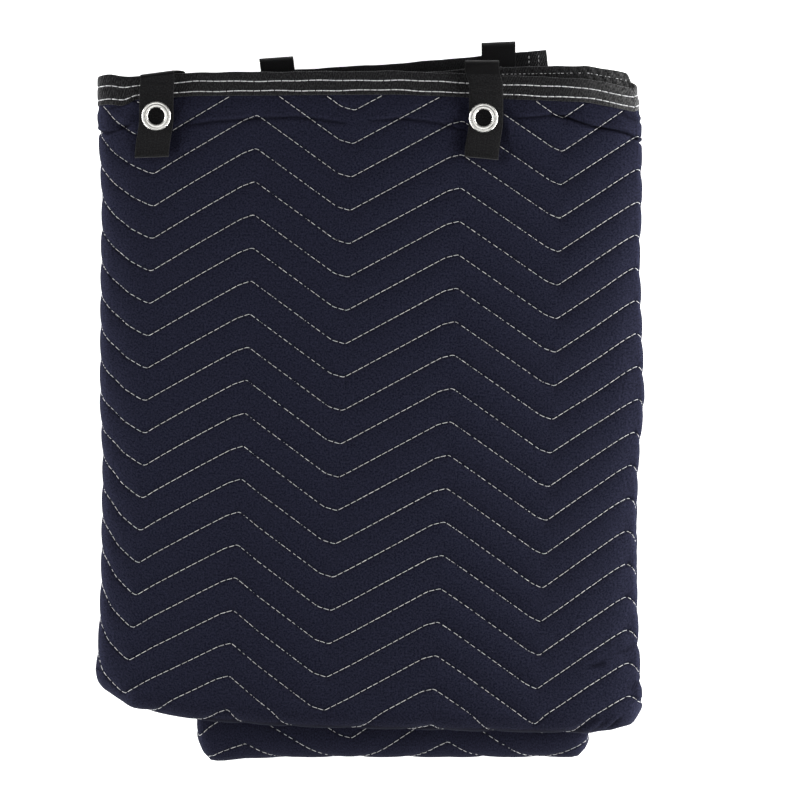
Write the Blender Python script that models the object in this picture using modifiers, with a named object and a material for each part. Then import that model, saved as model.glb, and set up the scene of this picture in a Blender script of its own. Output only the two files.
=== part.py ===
"""A quilted moving blanket, folded: quarters across its width, then four panels along its length.

It lies flat, with the front panel up. X runs across it, Y towards the hem with the tabs, Z up.
Every piece is first laid out on a flat sheet and then taken round the same two sets of folds.
All sizes are in millimetres until point() turns them into metres.
"""

import math
from collections import namedtuple

import bmesh
import bpy
import numpy as np
from mathutils import Vector

MM = 0.001
OBJECT = "folded_moving_blanket"

# The cloth and the stack that it makes.
CLOTH = 3.4
PLY_PITCH = 4.0
STRIP = 3 * PLY_PITCH + CLOTH
BEND_GAP = 2.0
OUTER_BEND = BEND_GAP + STRIP
PIECE_GAP = 0.3

# The outline of the front panel.
LEFT = -255.5
RIGHT = 256.0
LEFT_FOLD = LEFT + 1.5 * PLY_PITCH + CLOTH / 2
RIGHT_FOLD = RIGHT - 0.5 * PLY_PITCH - CLOTH / 2
INNER_FOLD = LEFT_FOLD + 1.0
REAR_FREE_EDGE = 167.0
REAR_WIDENING = 67.3
WIDENING_ROWS = 6
THIRD_FREE_EDGE = REAR_FREE_EDGE + REAR_WIDENING
TOP_FOLD_EDGE = 286.0
LOWER_HEM = 284.0
Y_CENTRE = 0.7

# The tape that binds the edges.
BINDING_WIDTH = 21.0
MID_BINDING = 8.0
TAPE = 0.8
HEM_CLOTH = CLOTH - 2 * (TAPE + PIECE_GAP)
HEM_BAND = BINDING_WIDTH + PIECE_GAP
HEM_STEP = HEM_BAND + 6.0
FAN_REACH = 42.0
FAN_ROWS = 7

# The quilting: rows of chevrons, and how far each row's puff rises.
ROW_ZERO = 212.9
FIRST_ROW = -3
LAST_ROW = 18
ROW_DRIFT = 1.62
ROW_SQUEEZE = 0.4
PUFF = 1.6
STITCH_SINK = 0.4
PUFF_FADE = 12.0

# How the stack settles: its sides droop, the free hem sags and the rear fold narrows.
DROOP = 0.1
SAG = 4.0
SAG_START = 300.0
SAG_REACH = 38.0
REAR_WIDTH = 0.722
REAR_CENTRE = 22.0

# The webbing tabs and the eyelets.
WEBBING = 1.2
WEBBING_WIDTH = 32.0
TAIL_GAP = 1.6
REAR_LOOP_RADIUS = 4.0
EYELET_HOLE = 7.9
EYELET_WALL = 0.8
EYELET_RADIUS = 13.8
EYELET_FLANGE = 1.1
EYELET_BACK_RADIUS = 11.0
EYELET_BACK = 0.5
EYELET_STEPS = 32

Ply = namedtuple("Ply", "face_side level hem_rise edge")
WidthFold = namedtuple("WidthFold", "x bulge first second face_out")
LengthFold = namedtuple("LengthFold", "z turn face_out edge")
Line = namedtuple("Line", "leg place hem")
Row = namedtuple("Row", "stage place hem")
Tab = namedtuple("Tab", "name x tail_x loop_y eyelet_x eyelet_y")

# Each ply of the strip, from the back to the front. Its edge is the top hem, as (x, y) rows.
REAR_HEM = ((LEFT, 301.7), (-163, 304.6), (-65, 310.5), (28, 316), (104, 323), (167, 329))
THIRD_HEM = ((LEFT, 300.5), (-65, 304.0), (167, 306.0), (207, 304.0), (236, 299.0))
SECOND_HEM = ((LEFT, 300.5), (28, 305.5), (115, 312), (207, 313.5), (236, 307.5), (246, 299), (RIGHT, 292))
FRONT_HEM = ((LEFT, 303.6), (-216, 303.6), (-163, 307), (28, 308.3), (140, 303.5), (207, 301), (RIGHT, 291.5))
PLIES = {
    "rear": Ply(-1, 0, -1.6, REAR_HEM),
    "third": Ply(1, 1, 0.0, THIRD_HEM),
    "second": Ply(-1, 2, 0.4, SECOND_HEM),
    "front": Ply(1, 3, 2.2, FRONT_HEM),
}

# The folds across the width: where, which way they bulge, and the plies that they join.
WIDTH_FOLDS = {
    "outer": WidthFold(LEFT_FOLD, -1, "rear", "front", 1),
    "right": WidthFold(RIGHT_FOLD, 1, "front", "second", 1),
    "inner": WidthFold(INNER_FOLD, -1, "second", "third", -1),
}

# The folds along the length: the height of the centre, the way out, and the outermost edge as (x, y) rows.
FRONT_EDGE = (
    (LEFT, -264),
    (-223, -287),
    (-163, -299),
    (-65, -306.5),
    (207, -313),
    (236, -310),
    (246, -303),
    (RIGHT, -290.5),
)
TOP_EDGE = ((LEFT, TOP_FOLD_EDGE), (RIGHT, TOP_FOLD_EDGE))
REAR_EDGE = ((LEFT, -323), (-240, -335.5), (-223, -336), (236, -336), (246, -331), (RIGHT, -319))
LENGTH_FOLDS = {
    "front_fold": LengthFold(5 * BEND_GAP + 3 * STRIP, -1, True, FRONT_EDGE),
    "top_fold": LengthFold(3 * BEND_GAP + 2 * STRIP, 1, False, TOP_EDGE),
    "rear_fold": LengthFold(BEND_GAP + STRIP, -1, True, REAR_EDGE),
}

# One row of chevron stitching on the front ply: (x, how far it lies above the row's left valley).
CHEVRON = (
    (LEFT, 49),
    (-240, 30),
    (-204, 0),
    (-105, 55),
    (-17, -3.3),
    (88, 48.9),
    (180, -10.8),
    (250, 36),
    (RIGHT, 34),
)
ROW_PITCH = ((LEFT, 30.5), (88, 31.4), (RIGHT, 31.3))
SIDE_DROOP = ((LEFT, 1.0), (-240, 0.4), (-223, 0.0), (236, 0.0), (246, 0.35), (RIGHT, 1.0))
DRIFTING = ((-240, 0.0), (-204, 1.0), (180, 1.0), (236, 0.0))

# The lines that every ply has, where the outlines of the folds turn, and the front ply's own.
SHARED_LINES = (-240, -223, -163, -65, 207, 236, 246)
FRONT_LINES = (-204, -185, -105, -17, 28, 88, 104, 140, 180)
HEM_LINES = (28, 104)

TABS = (
    Tab("front_tab_left", -200.3, -204.3, 311.5, -200.3, 266.8),
    Tab("front_tab_right", 108.8, 105.6, 319.5, 107.2, 265.1),
    Tab("rear_tab_left", -87.0, -87.0, 322.9, None, None),
    Tab("rear_tab_right", 121.5, 121.5, 337.4, None, None),
)
TAIL_END = 228.9
TAIL_TURN = 38.0


def table(rows, x):
    """The table's value at x, on straight lines between its rows."""
    places, values = zip(*rows)
    return float(np.interp(x, places, values))


def blend(first, second, share):
    return first + (second - first) * share


def smooth(share):
    share = min(max(share, 0.0), 1.0)
    return share * share * (3 - 2 * share)


def point(x, y, z):
    return Vector((x, y - Y_CENTRE, z)) * MM


def sag(y):
    """How far the unsupported hem hangs below the level of the front panel."""
    return SAG * (max(y - SAG_START, 0.0) / SAG_REACH) ** 2


def ply_level(name, fan):
    """Height of a ply's middle over the strip's base. The plies stand further apart at the top hem."""
    ply = PLIES[name]
    return CLOTH / 2 + ply.level * PLY_PITCH + ply.hem_rise * fan


def across(line, lift, fan, drift=0.0):
    """(x, height in the strip) of a point that lies lift from the cloth's middle, towards its face."""
    if line.leg in PLIES:
        return line.place - drift, ply_level(line.leg, fan) + PLIES[line.leg].face_side * lift
    fold = WIDTH_FOLDS[line.leg]
    first = ply_level(fold.first, fan)
    second = ply_level(fold.second, fan)
    radius = abs(first - second) / 2 + fold.face_out * lift
    angle = math.pi * line.place
    height = (first + second) / 2 + math.copysign(radius, first - second) * math.cos(angle)
    return fold.x + fold.bulge * radius * math.sin(angle), height


def hem_y(line):
    """Y of the top hem on this line."""
    if line.leg in PLIES:
        return table(PLIES[line.leg].edge, line.place)
    fold = WIDTH_FOLDS[line.leg]
    ends = [table(PLIES[name].edge, fold.x) for name in (fold.first, fold.second)]
    return blend(*ends, line.place)


def round_fold(name, x, height, angle):
    """(y, z) at an angle round a fold along the length, from 0 where it starts to pi where it ends."""
    fold = LENGTH_FOLDS[name]
    radius = BEND_GAP + (height if fold.face_out else STRIP - height)
    centre = table(fold.edge, x) - fold.turn * OUTER_BEND
    return centre + fold.turn * radius * math.sin(angle), fold.z + radius * math.cos(angle)


def chevron_y(x, number):
    """Y of a numbered row of stitching, or of the puff between two rows."""
    return ROW_ZERO + table(CHEVRON, x) - number * table(ROW_PITCH, x)


def row_count():
    return 2 * (LAST_ROW - FIRST_ROW) + 1


def widest_x(line):
    """How far out the cloth reaches on this line, round a side fold."""
    if line.leg in PLIES:
        return line.place
    return across(line, WIDTH_FOLDS[line.leg].face_out * CLOTH / 2, 0.0)[0]


def panel_y(line, row):
    """(y, share of the puff) on the front panel. The rows stop at the hem and at the start of the fold."""
    x = line.place if line.leg in PLIES else WIDTH_FOLDS[line.leg].x
    top = hem_y(line) - HEM_STEP
    bottom = round_fold("front_fold", widest_x(line), 0.0, 0.0)[0]
    order = row.place + 1
    last = row_count() + 1
    even = blend(top, bottom, order / last)
    shares = {"front": 1.0, "outer": line.place, "right": 1 - line.place}
    share = shares.get(line.leg, 0.0)
    if share <= 0:
        return even, 0.0
    free = chevron_y(x, FIRST_ROW + row.place / 2)
    highest = top - order * ROW_SQUEEZE
    lowest = bottom + (last - order) * ROW_SQUEEZE
    y = min(max(free, lowest), highest)
    fade = min(1.0, (highest - y) / PUFF_FADE, (y - lowest) / PUFF_FADE)
    return blend(even, y, share), fade if line.leg == "front" else 0.0


def puff_lift(row):
    """Rows alternate: a line of stitching pulls the face in, and the puff after it stands out."""
    return PUFF if row.place % 2 else -STITCH_SINK


def narrowing(row):
    """Share of the rear fold's narrowing that a row has."""
    shares = {"third": smooth(row.place), "rear_fold": 1.0, "back": 1 - smooth(row.place)}
    return shares.get(row.stage, 0.0)


def widening(line, row):
    """How far the rear ply's free edge has slanted out from its place at the hem."""
    if line.leg != "rear" or line.place < REAR_FREE_EDGE - HEM_STEP or row.stage == "hem":
        return 0.0
    return REAR_WIDENING * (smooth(row.place / WIDENING_ROWS) if row.stage == "panel" else 1.0)


def on_blanket(line, row, lift, puffed=False):
    """The place, on the folded blanket, of a point lift away from the cloth's middle towards its face."""
    drift = -widening(line, row)
    fan = 0.0
    if row.stage == "hem":
        y = hem_y(line) - row.place
        fan = 1.0
    elif row.stage == "panel":
        number = FIRST_ROW + row.place / 2
        y, puff = panel_y(line, row)
        fan = smooth(1 - (hem_y(line) - HEM_STEP - y) / FAN_REACH)
        if line.leg == "front":
            drift = ROW_DRIFT * number * table(DRIFTING, line.place)
        if puffed:
            lift += puff_lift(row) * puff * (1 - fan)
    x, height = across(line, lift, fan, drift)
    if row.stage in ("hem", "panel"):
        z = round_fold("front_fold", x, height, 0.0)[1] - sag(y)
    elif row.stage in LENGTH_FOLDS:
        y, z = round_fold(row.stage, x, height, math.pi * row.place)
    else:
        y, z = between_folds(row, x, height)
    z *= 1 - DROOP * table(SIDE_DROOP, x)
    narrow_x = REAR_CENTRE + REAR_WIDTH * x
    return point(blend(x, narrow_x, narrowing(row)), y, z)


def between_folds(row, x, height):
    """(y, z) on the panels under the front one."""
    if row.stage == "lower_hem":
        return LOWER_HEM - row.place, round_fold("rear_fold", x, height, math.pi)[1]
    ends = {
        "second": ("front_fold", "top_fold"),
        "third": ("top_fold", "rear_fold"),
        "back": ("rear_fold", None),
    }
    first, second = ends[row.stage]
    start, z = round_fold(first, x, height, math.pi)
    end = round_fold(second, x, height, 0.0)[0] if second else LOWER_HEM - HEM_STEP
    return blend(start, end, row.place), z


def ply_lines(leg, start, end, own=()):
    """The lines of one ply, in order from one end to the other, with both ends left out."""
    low, high = sorted((start, end))
    places = sorted(x for x in {*SHARED_LINES, *own} if low + 1 < x < high - 1)
    return [Line(leg, x, False) for x in (places if end > start else reversed(places))]


def fold_lines(leg, steps):
    return [Line(leg, step / steps, False) for step in range(steps + 1)]


def free_edge_lines(leg, edge):
    """The lines at a free edge, from inside to the edge itself."""
    return [Line(leg, edge - HEM_STEP, False), Line(leg, edge - HEM_BAND, True), Line(leg, edge, True)]


def width_lines():
    """All lines across the strip, from the rear ply's free edge to the third ply's."""
    rear_edge = free_edge_lines("rear", REAR_FREE_EDGE)
    third_edge = free_edge_lines("third", THIRD_FREE_EDGE)
    return [
        *reversed(rear_edge),
        *ply_lines("rear", REAR_FREE_EDGE - HEM_STEP, LEFT_FOLD, HEM_LINES),
        *fold_lines("outer", 5),
        *ply_lines("front", LEFT_FOLD, RIGHT_FOLD, FRONT_LINES),
        *fold_lines("right", 4),
        *ply_lines("second", RIGHT_FOLD, INNER_FOLD, HEM_LINES),
        *fold_lines("inner", 4),
        *ply_lines("third", INNER_FOLD, THIRD_FREE_EDGE - HEM_STEP),
        *third_edge,
    ]


def fold_rows(stage, steps):
    return [Row(stage, step / steps, False) for step in range(steps + 1)]


def length_rows(panel_step=1):
    """All rows from the top hem to the lower one, without the hems themselves."""
    numbers = [number for number in range(row_count()) if number < FAN_ROWS or number % panel_step == 0]
    return [
        Row("hem", HEM_STEP, False),
        *(Row("panel", number, False) for number in numbers),
        *fold_rows("front_fold", 6),
        *fold_rows("top_fold", 6),
        Row("third", 0.55, False),
        Row("third", 0.8, False),
        *fold_rows("rear_fold", 6),
        Row("back", 0.25, False),
        Row("back", 0.6, False),
        Row("lower_hem", HEM_STEP, False),
    ]


def slab(name, columns, rows, place, material):
    """A closed sheet: a grid with a second side, whose points place(column, row, side) puts right."""
    shape = bmesh.new()
    bmesh.ops.create_grid(shape, x_segments=columns - 1, y_segments=rows - 1, size=0.5)
    made = bmesh.ops.extrude_face_region(shape, geom=shape.faces[:])
    for vertex in made["geom"]:
        if isinstance(vertex, bmesh.types.BMVert):
            vertex.co.z = 1.0
    bmesh.ops.recalc_face_normals(shape, faces=shape.faces[:])
    for vertex in shape.verts:
        column = round((vertex.co.x + 0.5) * (columns - 1))
        row = round((vertex.co.y + 0.5) * (rows - 1))
        vertex.co = place(column, row, round(vertex.co.z))
    if shape.calc_volume(signed=True) < 0:
        bmesh.ops.reverse_faces(shape, faces=shape.faces[:])
    return finish(name, shape, material)


def finish(name, shape, material):
    mesh = bpy.data.meshes.new(name)
    shape.to_mesh(mesh)
    shape.free()
    mesh.materials.append(material)
    made = bpy.data.objects.new(name, mesh)
    PARTS.objects.link(made)
    return made


def make_blanket(material):
    lines = width_lines()
    hem_rows = [Row("hem", depth, True) for depth in (0.0, MID_BINDING, HEM_BAND)]
    lower_rows = [Row("lower_hem", depth, True) for depth in (HEM_BAND, 0.0)]
    rows = [*hem_rows, *length_rows(), *lower_rows]

    def place(column, row, side):
        line = lines[column]
        half = (HEM_CLOTH if line.hem or rows[row].hem else CLOTH) / 2
        return on_blanket(line, rows[row], half if side else -half, puffed=bool(side))

    return slab("quilted_blanket", len(lines), len(rows), place, material)


def tape_profile(side):
    """The U of tape over an edge, as (distance in from the edge, lift): one leg, the edge, the other leg."""
    reach = -PIECE_GAP - TAPE * side
    lift = HEM_CLOTH / 2 + PIECE_GAP + TAPE * side
    depths = (BINDING_WIDTH, MID_BINDING, reach)
    return (*((depth, lift) for depth in depths), *((depth, -lift) for depth in reversed(depths)))


def make_hem_binding(name, stage, material):
    lines = width_lines()

    def place(column, row, side):
        depth, lift = tape_profile(side)[row]
        return on_blanket(lines[column], Row(stage, depth, True), lift)

    return slab(name, len(lines), len(tape_profile(0)), place, material)


def make_side_binding(name, leg, edge, material):
    rows = [
        Row("hem", HEM_BAND, True),
        *length_rows(panel_step=10),
        Row("lower_hem", HEM_BAND, True),
    ]

    def place(column, row, side):
        depth, lift = tape_profile(side)[column]
        return on_blanket(Line(leg, edge - depth, True), rows[row], lift)

    return slab(name, len(tape_profile(0)), len(rows), place, material)


def hem_side_z(leg, side):
    """Height of the bound hem's upper (side 1) or lower (side -1) surface."""
    base = LENGTH_FOLDS["front_fold"].z + BEND_GAP
    return base + ply_level(leg, 1.0) + side * (HEM_CLOTH / 2 + PIECE_GAP + TAPE)


def half_turn(y, z, radius, reach, rising):
    """Points round the end of a doubled strip. It bulges by reach along Y, and goes up or down in Z."""
    steps = 6
    turn = 1 if rising else -1
    angles = [math.pi * step / steps for step in range(steps + 1)]
    return [(y + reach * math.sin(angle), z - turn * radius * math.cos(angle)) for angle in angles]


def front_tab_path(tab):
    """Middle of a front tab's webbing: the layer under the tail, the tail, the loop and the leg behind."""
    hem = table(PLIES["front"].edge, tab.x)
    under = hem_side_z("front", 1) + PIECE_GAP + WEBBING / 2
    over = under + WEBBING + TAIL_GAP
    behind = hem_side_z("front", -1) - PIECE_GAP - WEBBING / 2
    tail_radius = (over - under) / 2
    loop_radius = (over - behind) / 2
    loop_reach = min(loop_radius, tab.loop_y - hem - WEBBING / 2)
    tail_y = TAIL_END + tail_radius + WEBBING / 2
    loop_y = tab.loop_y - loop_reach - WEBBING / 2
    tail = half_turn(tail_y, under + tail_radius, tail_radius, -tail_radius, rising=True)
    loop = half_turn(loop_y, behind + loop_radius, loop_radius, loop_reach, rising=False)
    return [(hem - 4.0, under), *tail, (tab.eyelet_y, over), *loop, (hem - HEM_BAND, behind)]


def rear_tab_path(tab):
    """Middle of a rear tab's webbing: up one side of the hem, over the loop and down the other."""
    hem = table(PLIES["rear"].edge, tab.x)
    over = hem_side_z("rear", 1) + PIECE_GAP + WEBBING / 2
    behind = hem_side_z("rear", -1) - PIECE_GAP - WEBBING / 2
    radius = REAR_LOOP_RADIUS
    loop = half_turn(tab.loop_y - radius - WEBBING / 2, (over + behind) / 2, radius, radius, rising=False)
    depths = (HEM_BAND, MID_BINDING, 0.0, -2.0)
    front = [(hem - depth, over) for depth in depths]
    back = [(hem - depth, behind) for depth in reversed(depths)]
    return [*front, *loop, *back]


def tab_centre(tab, y):
    """X of a tab's middle. A tail with an eyelet turns a little to one side below it."""
    if not tab.eyelet_y:
        return tab.x
    return blend(tab.x, tab.tail_x, smooth((tab.eyelet_y - y) / TAIL_TURN))


def make_tab(tab, material):
    path = front_tab_path(tab) if tab.eyelet_y else rear_tab_path(tab)
    path = [Vector((0.0, y, z - sag(y))) for y, z in path]

    def place(column, row, side):
        before = path[max(row - 1, 0)]
        after = path[min(row + 1, len(path) - 1)]
        along = (after - before).normalized()
        outwards = Vector((0.0, -along.z, along.y))
        spot = path[row] + outwards * WEBBING * (side - 0.5)
        return point(tab_centre(tab, spot.y) + WEBBING_WIDTH * (column - 0.5), spot.y, spot.z)

    strap = slab(tab.name, 2, len(path), place, material)
    if tab.eyelet_y:
        cut_eyelet_hole(strap, tab)
    return strap


def tail_top_z():
    """Height of a front tail's upper side, on which the eyelet's flange lies."""
    return hem_side_z("front", 1) + PIECE_GAP + 2 * WEBBING + TAIL_GAP


def cut_eyelet_hole(strap, tab):
    radius = EYELET_HOLE + EYELET_WALL + PIECE_GAP
    shape = bmesh.new()
    bmesh.ops.create_cone(
        shape,
        cap_ends=True,
        segments=EYELET_STEPS,
        radius1=radius * MM,
        radius2=radius * MM,
        depth=2 * WEBBING * MM,
    )
    mesh = bpy.data.meshes.new(strap.name + "_cutter")
    shape.to_mesh(mesh)
    shape.free()
    cutter = bpy.data.objects.new(mesh.name, mesh)
    cutter.location = point(tab.eyelet_x, tab.eyelet_y, tail_top_z() - WEBBING / 2)
    cutter.hide_render = True
    cutter.display_type = "WIRE"
    CUTTERS.objects.link(cutter)
    modifier = strap.modifiers.new("eyelet_hole", "BOOLEAN")
    modifier.object = cutter


def make_eyelet(name, tab, material):
    """A turned eyelet: a rounded flange on the tail, a tube through the hole and a small flange behind."""
    wall = EYELET_HOLE + EYELET_WALL
    rise = EYELET_FLANGE
    back = -WEBBING - 2 * PIECE_GAP
    profile = (
        (EYELET_HOLE + 0.5, rise),
        (EYELET_HOLE + 2.2, rise * 0.9),
        (EYELET_RADIUS - 1.2, rise * 0.75),
        (EYELET_RADIUS - 0.3, rise * 0.4),
        (EYELET_RADIUS, 0.0),
        (wall, 0.0),
        (wall, back),
        (EYELET_BACK_RADIUS, back),
        (EYELET_BACK_RADIUS, back - EYELET_BACK),
        (EYELET_HOLE, back - EYELET_BACK),
        (EYELET_HOLE, rise * 0.5),
    )
    shape = bmesh.new()
    ring = [shape.verts.new((radius * MM, 0.0, z * MM)) for radius, z in profile]
    for first, second in zip(ring, ring[1:] + ring[:1]):
        shape.edges.new((first, second))
    eyelet = finish(name, shape, material)
    eyelet.location = point(tab.eyelet_x, tab.eyelet_y, tail_top_z() + PIECE_GAP)
    screw = eyelet.modifiers.new("turned", "SCREW")
    screw.steps = EYELET_STEPS
    screw.render_steps = EYELET_STEPS
    screw.use_merge_vertices = True
    screw.merge_threshold = 1e-6
    return eyelet


def srgb(*values):
    """A colour given as 0 to 255 sRGB, in Blender's linear values."""
    shares = [value / 255 for value in values]
    return (*(share / 12.92 if share < 0.0405 else ((share + 0.055) / 1.055) ** 2.4 for share in shares), 1.0)


def make_material(name, colour, roughness, metallic=0.0):
    material = bpy.data.materials.new(name)
    material.use_nodes = True
    shader = material.node_tree.nodes["Principled BSDF"]
    shader.inputs["Base Color"].default_value = colour
    shader.inputs["Roughness"].default_value = roughness
    shader.inputs["Metallic"].default_value = metallic
    material.diffuse_color = colour
    return material


def make_collection(name):
    collection = bpy.data.collections.new(name)
    bpy.context.scene.collection.children.link(collection)
    return collection


for old in list(bpy.data.objects):
    bpy.data.objects.remove(old)
PARTS = make_collection(OBJECT)
CUTTERS = make_collection("cutters")

NAVY_QUILT = make_material("navy_quilt", srgb(31, 33, 46), 0.95)
CHARCOAL_TAPE = make_material("charcoal_tape", srgb(45, 45, 46), 0.9)
BLACK_WEBBING = make_material("black_webbing", srgb(31, 31, 33), 0.85)
NICKEL = make_material("nickel", srgb(205, 205, 205), 0.2, metallic=1.0)

make_blanket(NAVY_QUILT)
make_hem_binding("top_binding", "hem", CHARCOAL_TAPE)
make_hem_binding("bottom_binding", "lower_hem", CHARCOAL_TAPE)
make_side_binding("side_binding_rear", "rear", REAR_FREE_EDGE, CHARCOAL_TAPE)
make_side_binding("side_binding_inner", "third", THIRD_FREE_EDGE, CHARCOAL_TAPE)
for tab in TABS:
    make_tab(tab, BLACK_WEBBING)
    if tab.eyelet_y:
        make_eyelet(tab.name.replace("tab", "eyelet"), tab, NICKEL)
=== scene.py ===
"""Dresses the folded moving blanket: quilted cloth, stitching, bound edges, webbing tabs and eyelets.

Lengths are in millimetres until points() or MM turns them into metres.
"""

import math
from collections import namedtuple

import bmesh
import bpy
import numpy as np
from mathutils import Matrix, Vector
from mathutils.bvhtree import BVHTree


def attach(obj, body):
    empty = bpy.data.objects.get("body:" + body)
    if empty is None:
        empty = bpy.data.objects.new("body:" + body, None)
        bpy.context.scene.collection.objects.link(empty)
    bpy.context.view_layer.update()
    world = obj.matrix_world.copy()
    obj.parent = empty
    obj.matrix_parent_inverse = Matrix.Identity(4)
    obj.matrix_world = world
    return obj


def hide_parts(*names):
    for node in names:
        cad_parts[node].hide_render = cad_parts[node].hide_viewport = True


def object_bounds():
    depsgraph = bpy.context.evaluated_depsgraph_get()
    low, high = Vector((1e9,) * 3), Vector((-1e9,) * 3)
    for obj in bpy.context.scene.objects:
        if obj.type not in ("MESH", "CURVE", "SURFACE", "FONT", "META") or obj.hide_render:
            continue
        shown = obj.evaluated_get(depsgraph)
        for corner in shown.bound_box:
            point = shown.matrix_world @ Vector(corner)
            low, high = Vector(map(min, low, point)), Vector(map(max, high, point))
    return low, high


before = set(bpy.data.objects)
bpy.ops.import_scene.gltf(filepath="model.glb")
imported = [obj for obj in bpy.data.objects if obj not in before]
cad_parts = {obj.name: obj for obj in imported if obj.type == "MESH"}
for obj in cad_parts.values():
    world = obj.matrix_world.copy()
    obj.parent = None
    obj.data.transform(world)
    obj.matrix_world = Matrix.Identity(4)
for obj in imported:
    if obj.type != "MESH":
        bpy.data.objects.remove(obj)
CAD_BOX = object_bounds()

MM = 0.001

# The stack and its folds, as the solids have them.
CLOTH = 3.4
PLY_PITCH = 4.0
STRIP = 3 * PLY_PITCH + CLOTH
BEND_GAP = 2.0
OUTER_BEND = BEND_GAP + STRIP
BEND_RUN = OUTER_BEND * math.pi
PIECE_GAP = 0.3
LEFT = -255.5
RIGHT = 256.0
LEFT_FOLD = LEFT + 1.5 * PLY_PITCH + CLOTH / 2
RIGHT_FOLD = RIGHT - 0.5 * PLY_PITCH - CLOTH / 2
LEFT_ARC = math.pi * (1.5 * PLY_PITCH + CLOTH / 2)
RIGHT_ARC = math.pi * (0.5 * PLY_PITCH + CLOTH / 2)
INNER_FOLD = LEFT_FOLD + 1.0
REAR_FREE_EDGE = 167.0
REAR_WIDENING = 67.3
THIRD_FREE_EDGE = REAR_FREE_EDGE + REAR_WIDENING
PANEL = 598.0
TOP_FOLD_EDGE = 286.0
FRONT_FOLD_EDGE = -313.0
LOWER_HEM = 284.0
# Where the hidden panels run straight: between these and the rear fold.
TOP_TANGENT = TOP_FOLD_EDGE - OUTER_BEND
FRONT_TANGENT = FRONT_FOLD_EDGE + OUTER_BEND
Y_CENTRE = 0.7
TAPE = 0.8
BINDING_WIDTH = 21.0
HEM_CLOTH = CLOTH - 2 * (TAPE + PIECE_GAP)
HEM_BAND = BINDING_WIDTH + PIECE_GAP
HEM_STEP = HEM_BAND + 6.0
FAN_REACH = 42.0
DROOP = 0.1
SAG = 4.0
SAG_START = 300.0
SAG_REACH = 38.0
TUCK = 4.5
# The tuck and the sides' wander both grow from START out from the middle, over REACH.
TUCK_START = 60.0
TUCK_REACH = 190.0
STRAY_START = 150.0
STRAY_REACH = 100.0
REAR_WIDTH = 0.722
REAR_CENTRE = 22.0
# The cloth laid flat, in metres.
# Within this distance of its free edges the cloth is drawn in finer lines, and the rear ply is widened.
RIM = 63.0
# The depths below the hem over which the rear ply's free edge slants out.
SLANT_START = 12.0
SLANT_REACH = 78.0

# The quilting.
ROW_ZERO = 212.9
FIRST_ROW = -3
LAST_ROW = 21
LOWER_ROWS = range(-54, 21)
ROW_DRIFT = 1.62
ROW_SPACING = 31.0
# Two rows' distance square to their slope, as a share of the one down the panel.
ROW_SLOPE = 0.86
PUFF = 1.5
STITCH_SINK = 0.7
PUFF_RISE = 4.0
WAVE_HEIGHT = 0.16
RIPPLE = 0.16
RIPPLE_REACH = 5.0
FOLD_STRETCH = 0.14
STITCH_PITCH = 6.4
STITCH_SHARE = 0.81
THREAD = 0.57
# The rows of stitching on the bindings, as distances from the edge.
TAPE_ROWS = (7.5, 16.8)

# The webbing tabs and the eyelets.
WEBBING = 1.2
WEBBING_WIDTH = 32.0
TAIL_GAP = 1.6
REAR_LOOP_RADIUS = 4.0
EYELET_HOLE = 7.9
EYELET_RADIUS = 13.8
TAIL_DIP = 1.5
# How far the leg behind a loop turns to the right, where the loop is tilted by SPUR_TILT.
SPUR = 8.5
SPUR_TILT = 0.11

Ply = namedtuple("Ply", "face_side level hem_rise edge")
WidthFold = namedtuple("WidthFold", "x bulge first second face_out")
LengthFold = namedtuple("LengthFold", "z turn face_out edge")
Tab = namedtuple("Tab", "name x tail_x loop_y eyelet_x eyelet_y tilt lean tail_y tail_tilt loop_shift")
Crease = namedtuple("Crease", "path depth width fade")

REAR_HEM = ((LEFT, 301.7), (-163, 304.6), (-65, 310.5), (28, 316), (104, 323), (167, 329))
THIRD_HEM = ((LEFT, 300.5), (-65, 304.0), (167, 306.0), (207, 304.0), (236, 299.0))
SECOND_HEM = (
    (LEFT, 300.5), (28, 305.5), (115, 312), (207, 313.5), (225, 310.5), (248.5, 306.3),
    (250.5, 297), (RIGHT, 290),
)
FRONT_HEM = (
    (LEFT, 304.6), (-249, 305.4), (-230, 302.8), (-216, 303.6), (-163, 307), (28, 308.3),
    (140, 303.5), (207, 301), (RIGHT, 291.5),
)
PLIES = {
    "rear": Ply(-1, 0, -1.6, REAR_HEM),
    "third": Ply(1, 1, 0.0, THIRD_HEM),
    "second": Ply(-1, 2, 0.4, SECOND_HEM),
    "front": Ply(1, 3, 2.2, FRONT_HEM),
}
WIDTH_FOLDS = {
    "outer": WidthFold(LEFT_FOLD, -1, "rear", "front", 1),
    "right": WidthFold(RIGHT_FOLD, 1, "front", "second", 1),
    "inner": WidthFold(INNER_FOLD, -1, "second", "third", -1),
}
FRONT_EDGE = (
    (LEFT, -267), (-223, -289), (-163, -300.5), (-65, -307), (207, -313), (226, -309.5),
    (236, -309), (245, -307), (251, -300), (RIGHT, -290),
)
TOP_EDGE = ((LEFT, TOP_FOLD_EDGE), (RIGHT, TOP_FOLD_EDGE))
REAR_EDGE = (
    (LEFT, -323), (-247, -335), (-240, -340), (-225, -340.5), (-190, -338), (-120, -337),
    (236, -337), (248, -334.5), (RIGHT, -323),
)
LENGTH_FOLDS = {
    "front_fold": LengthFold(5 * BEND_GAP + 3 * STRIP, -1, True, FRONT_EDGE),
    "top_fold": LengthFold(3 * BEND_GAP + 2 * STRIP, 1, False, TOP_EDGE),
    "rear_fold": LengthFold(BEND_GAP + STRIP, -1, True, REAR_EDGE),
}
SIDE_DROOP = ((LEFT, 1.0), (-240, 0.4), (-223, 0.0), (205, 0.0), (232, 0.22), (246, 0.55), (RIGHT, 1.0))
ROW_PITCH = ((-204, 30.5), (-105, 31.2), (-17, 31.4), (88, 31.4), (160, 31.6), (250, 30.93))

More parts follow.
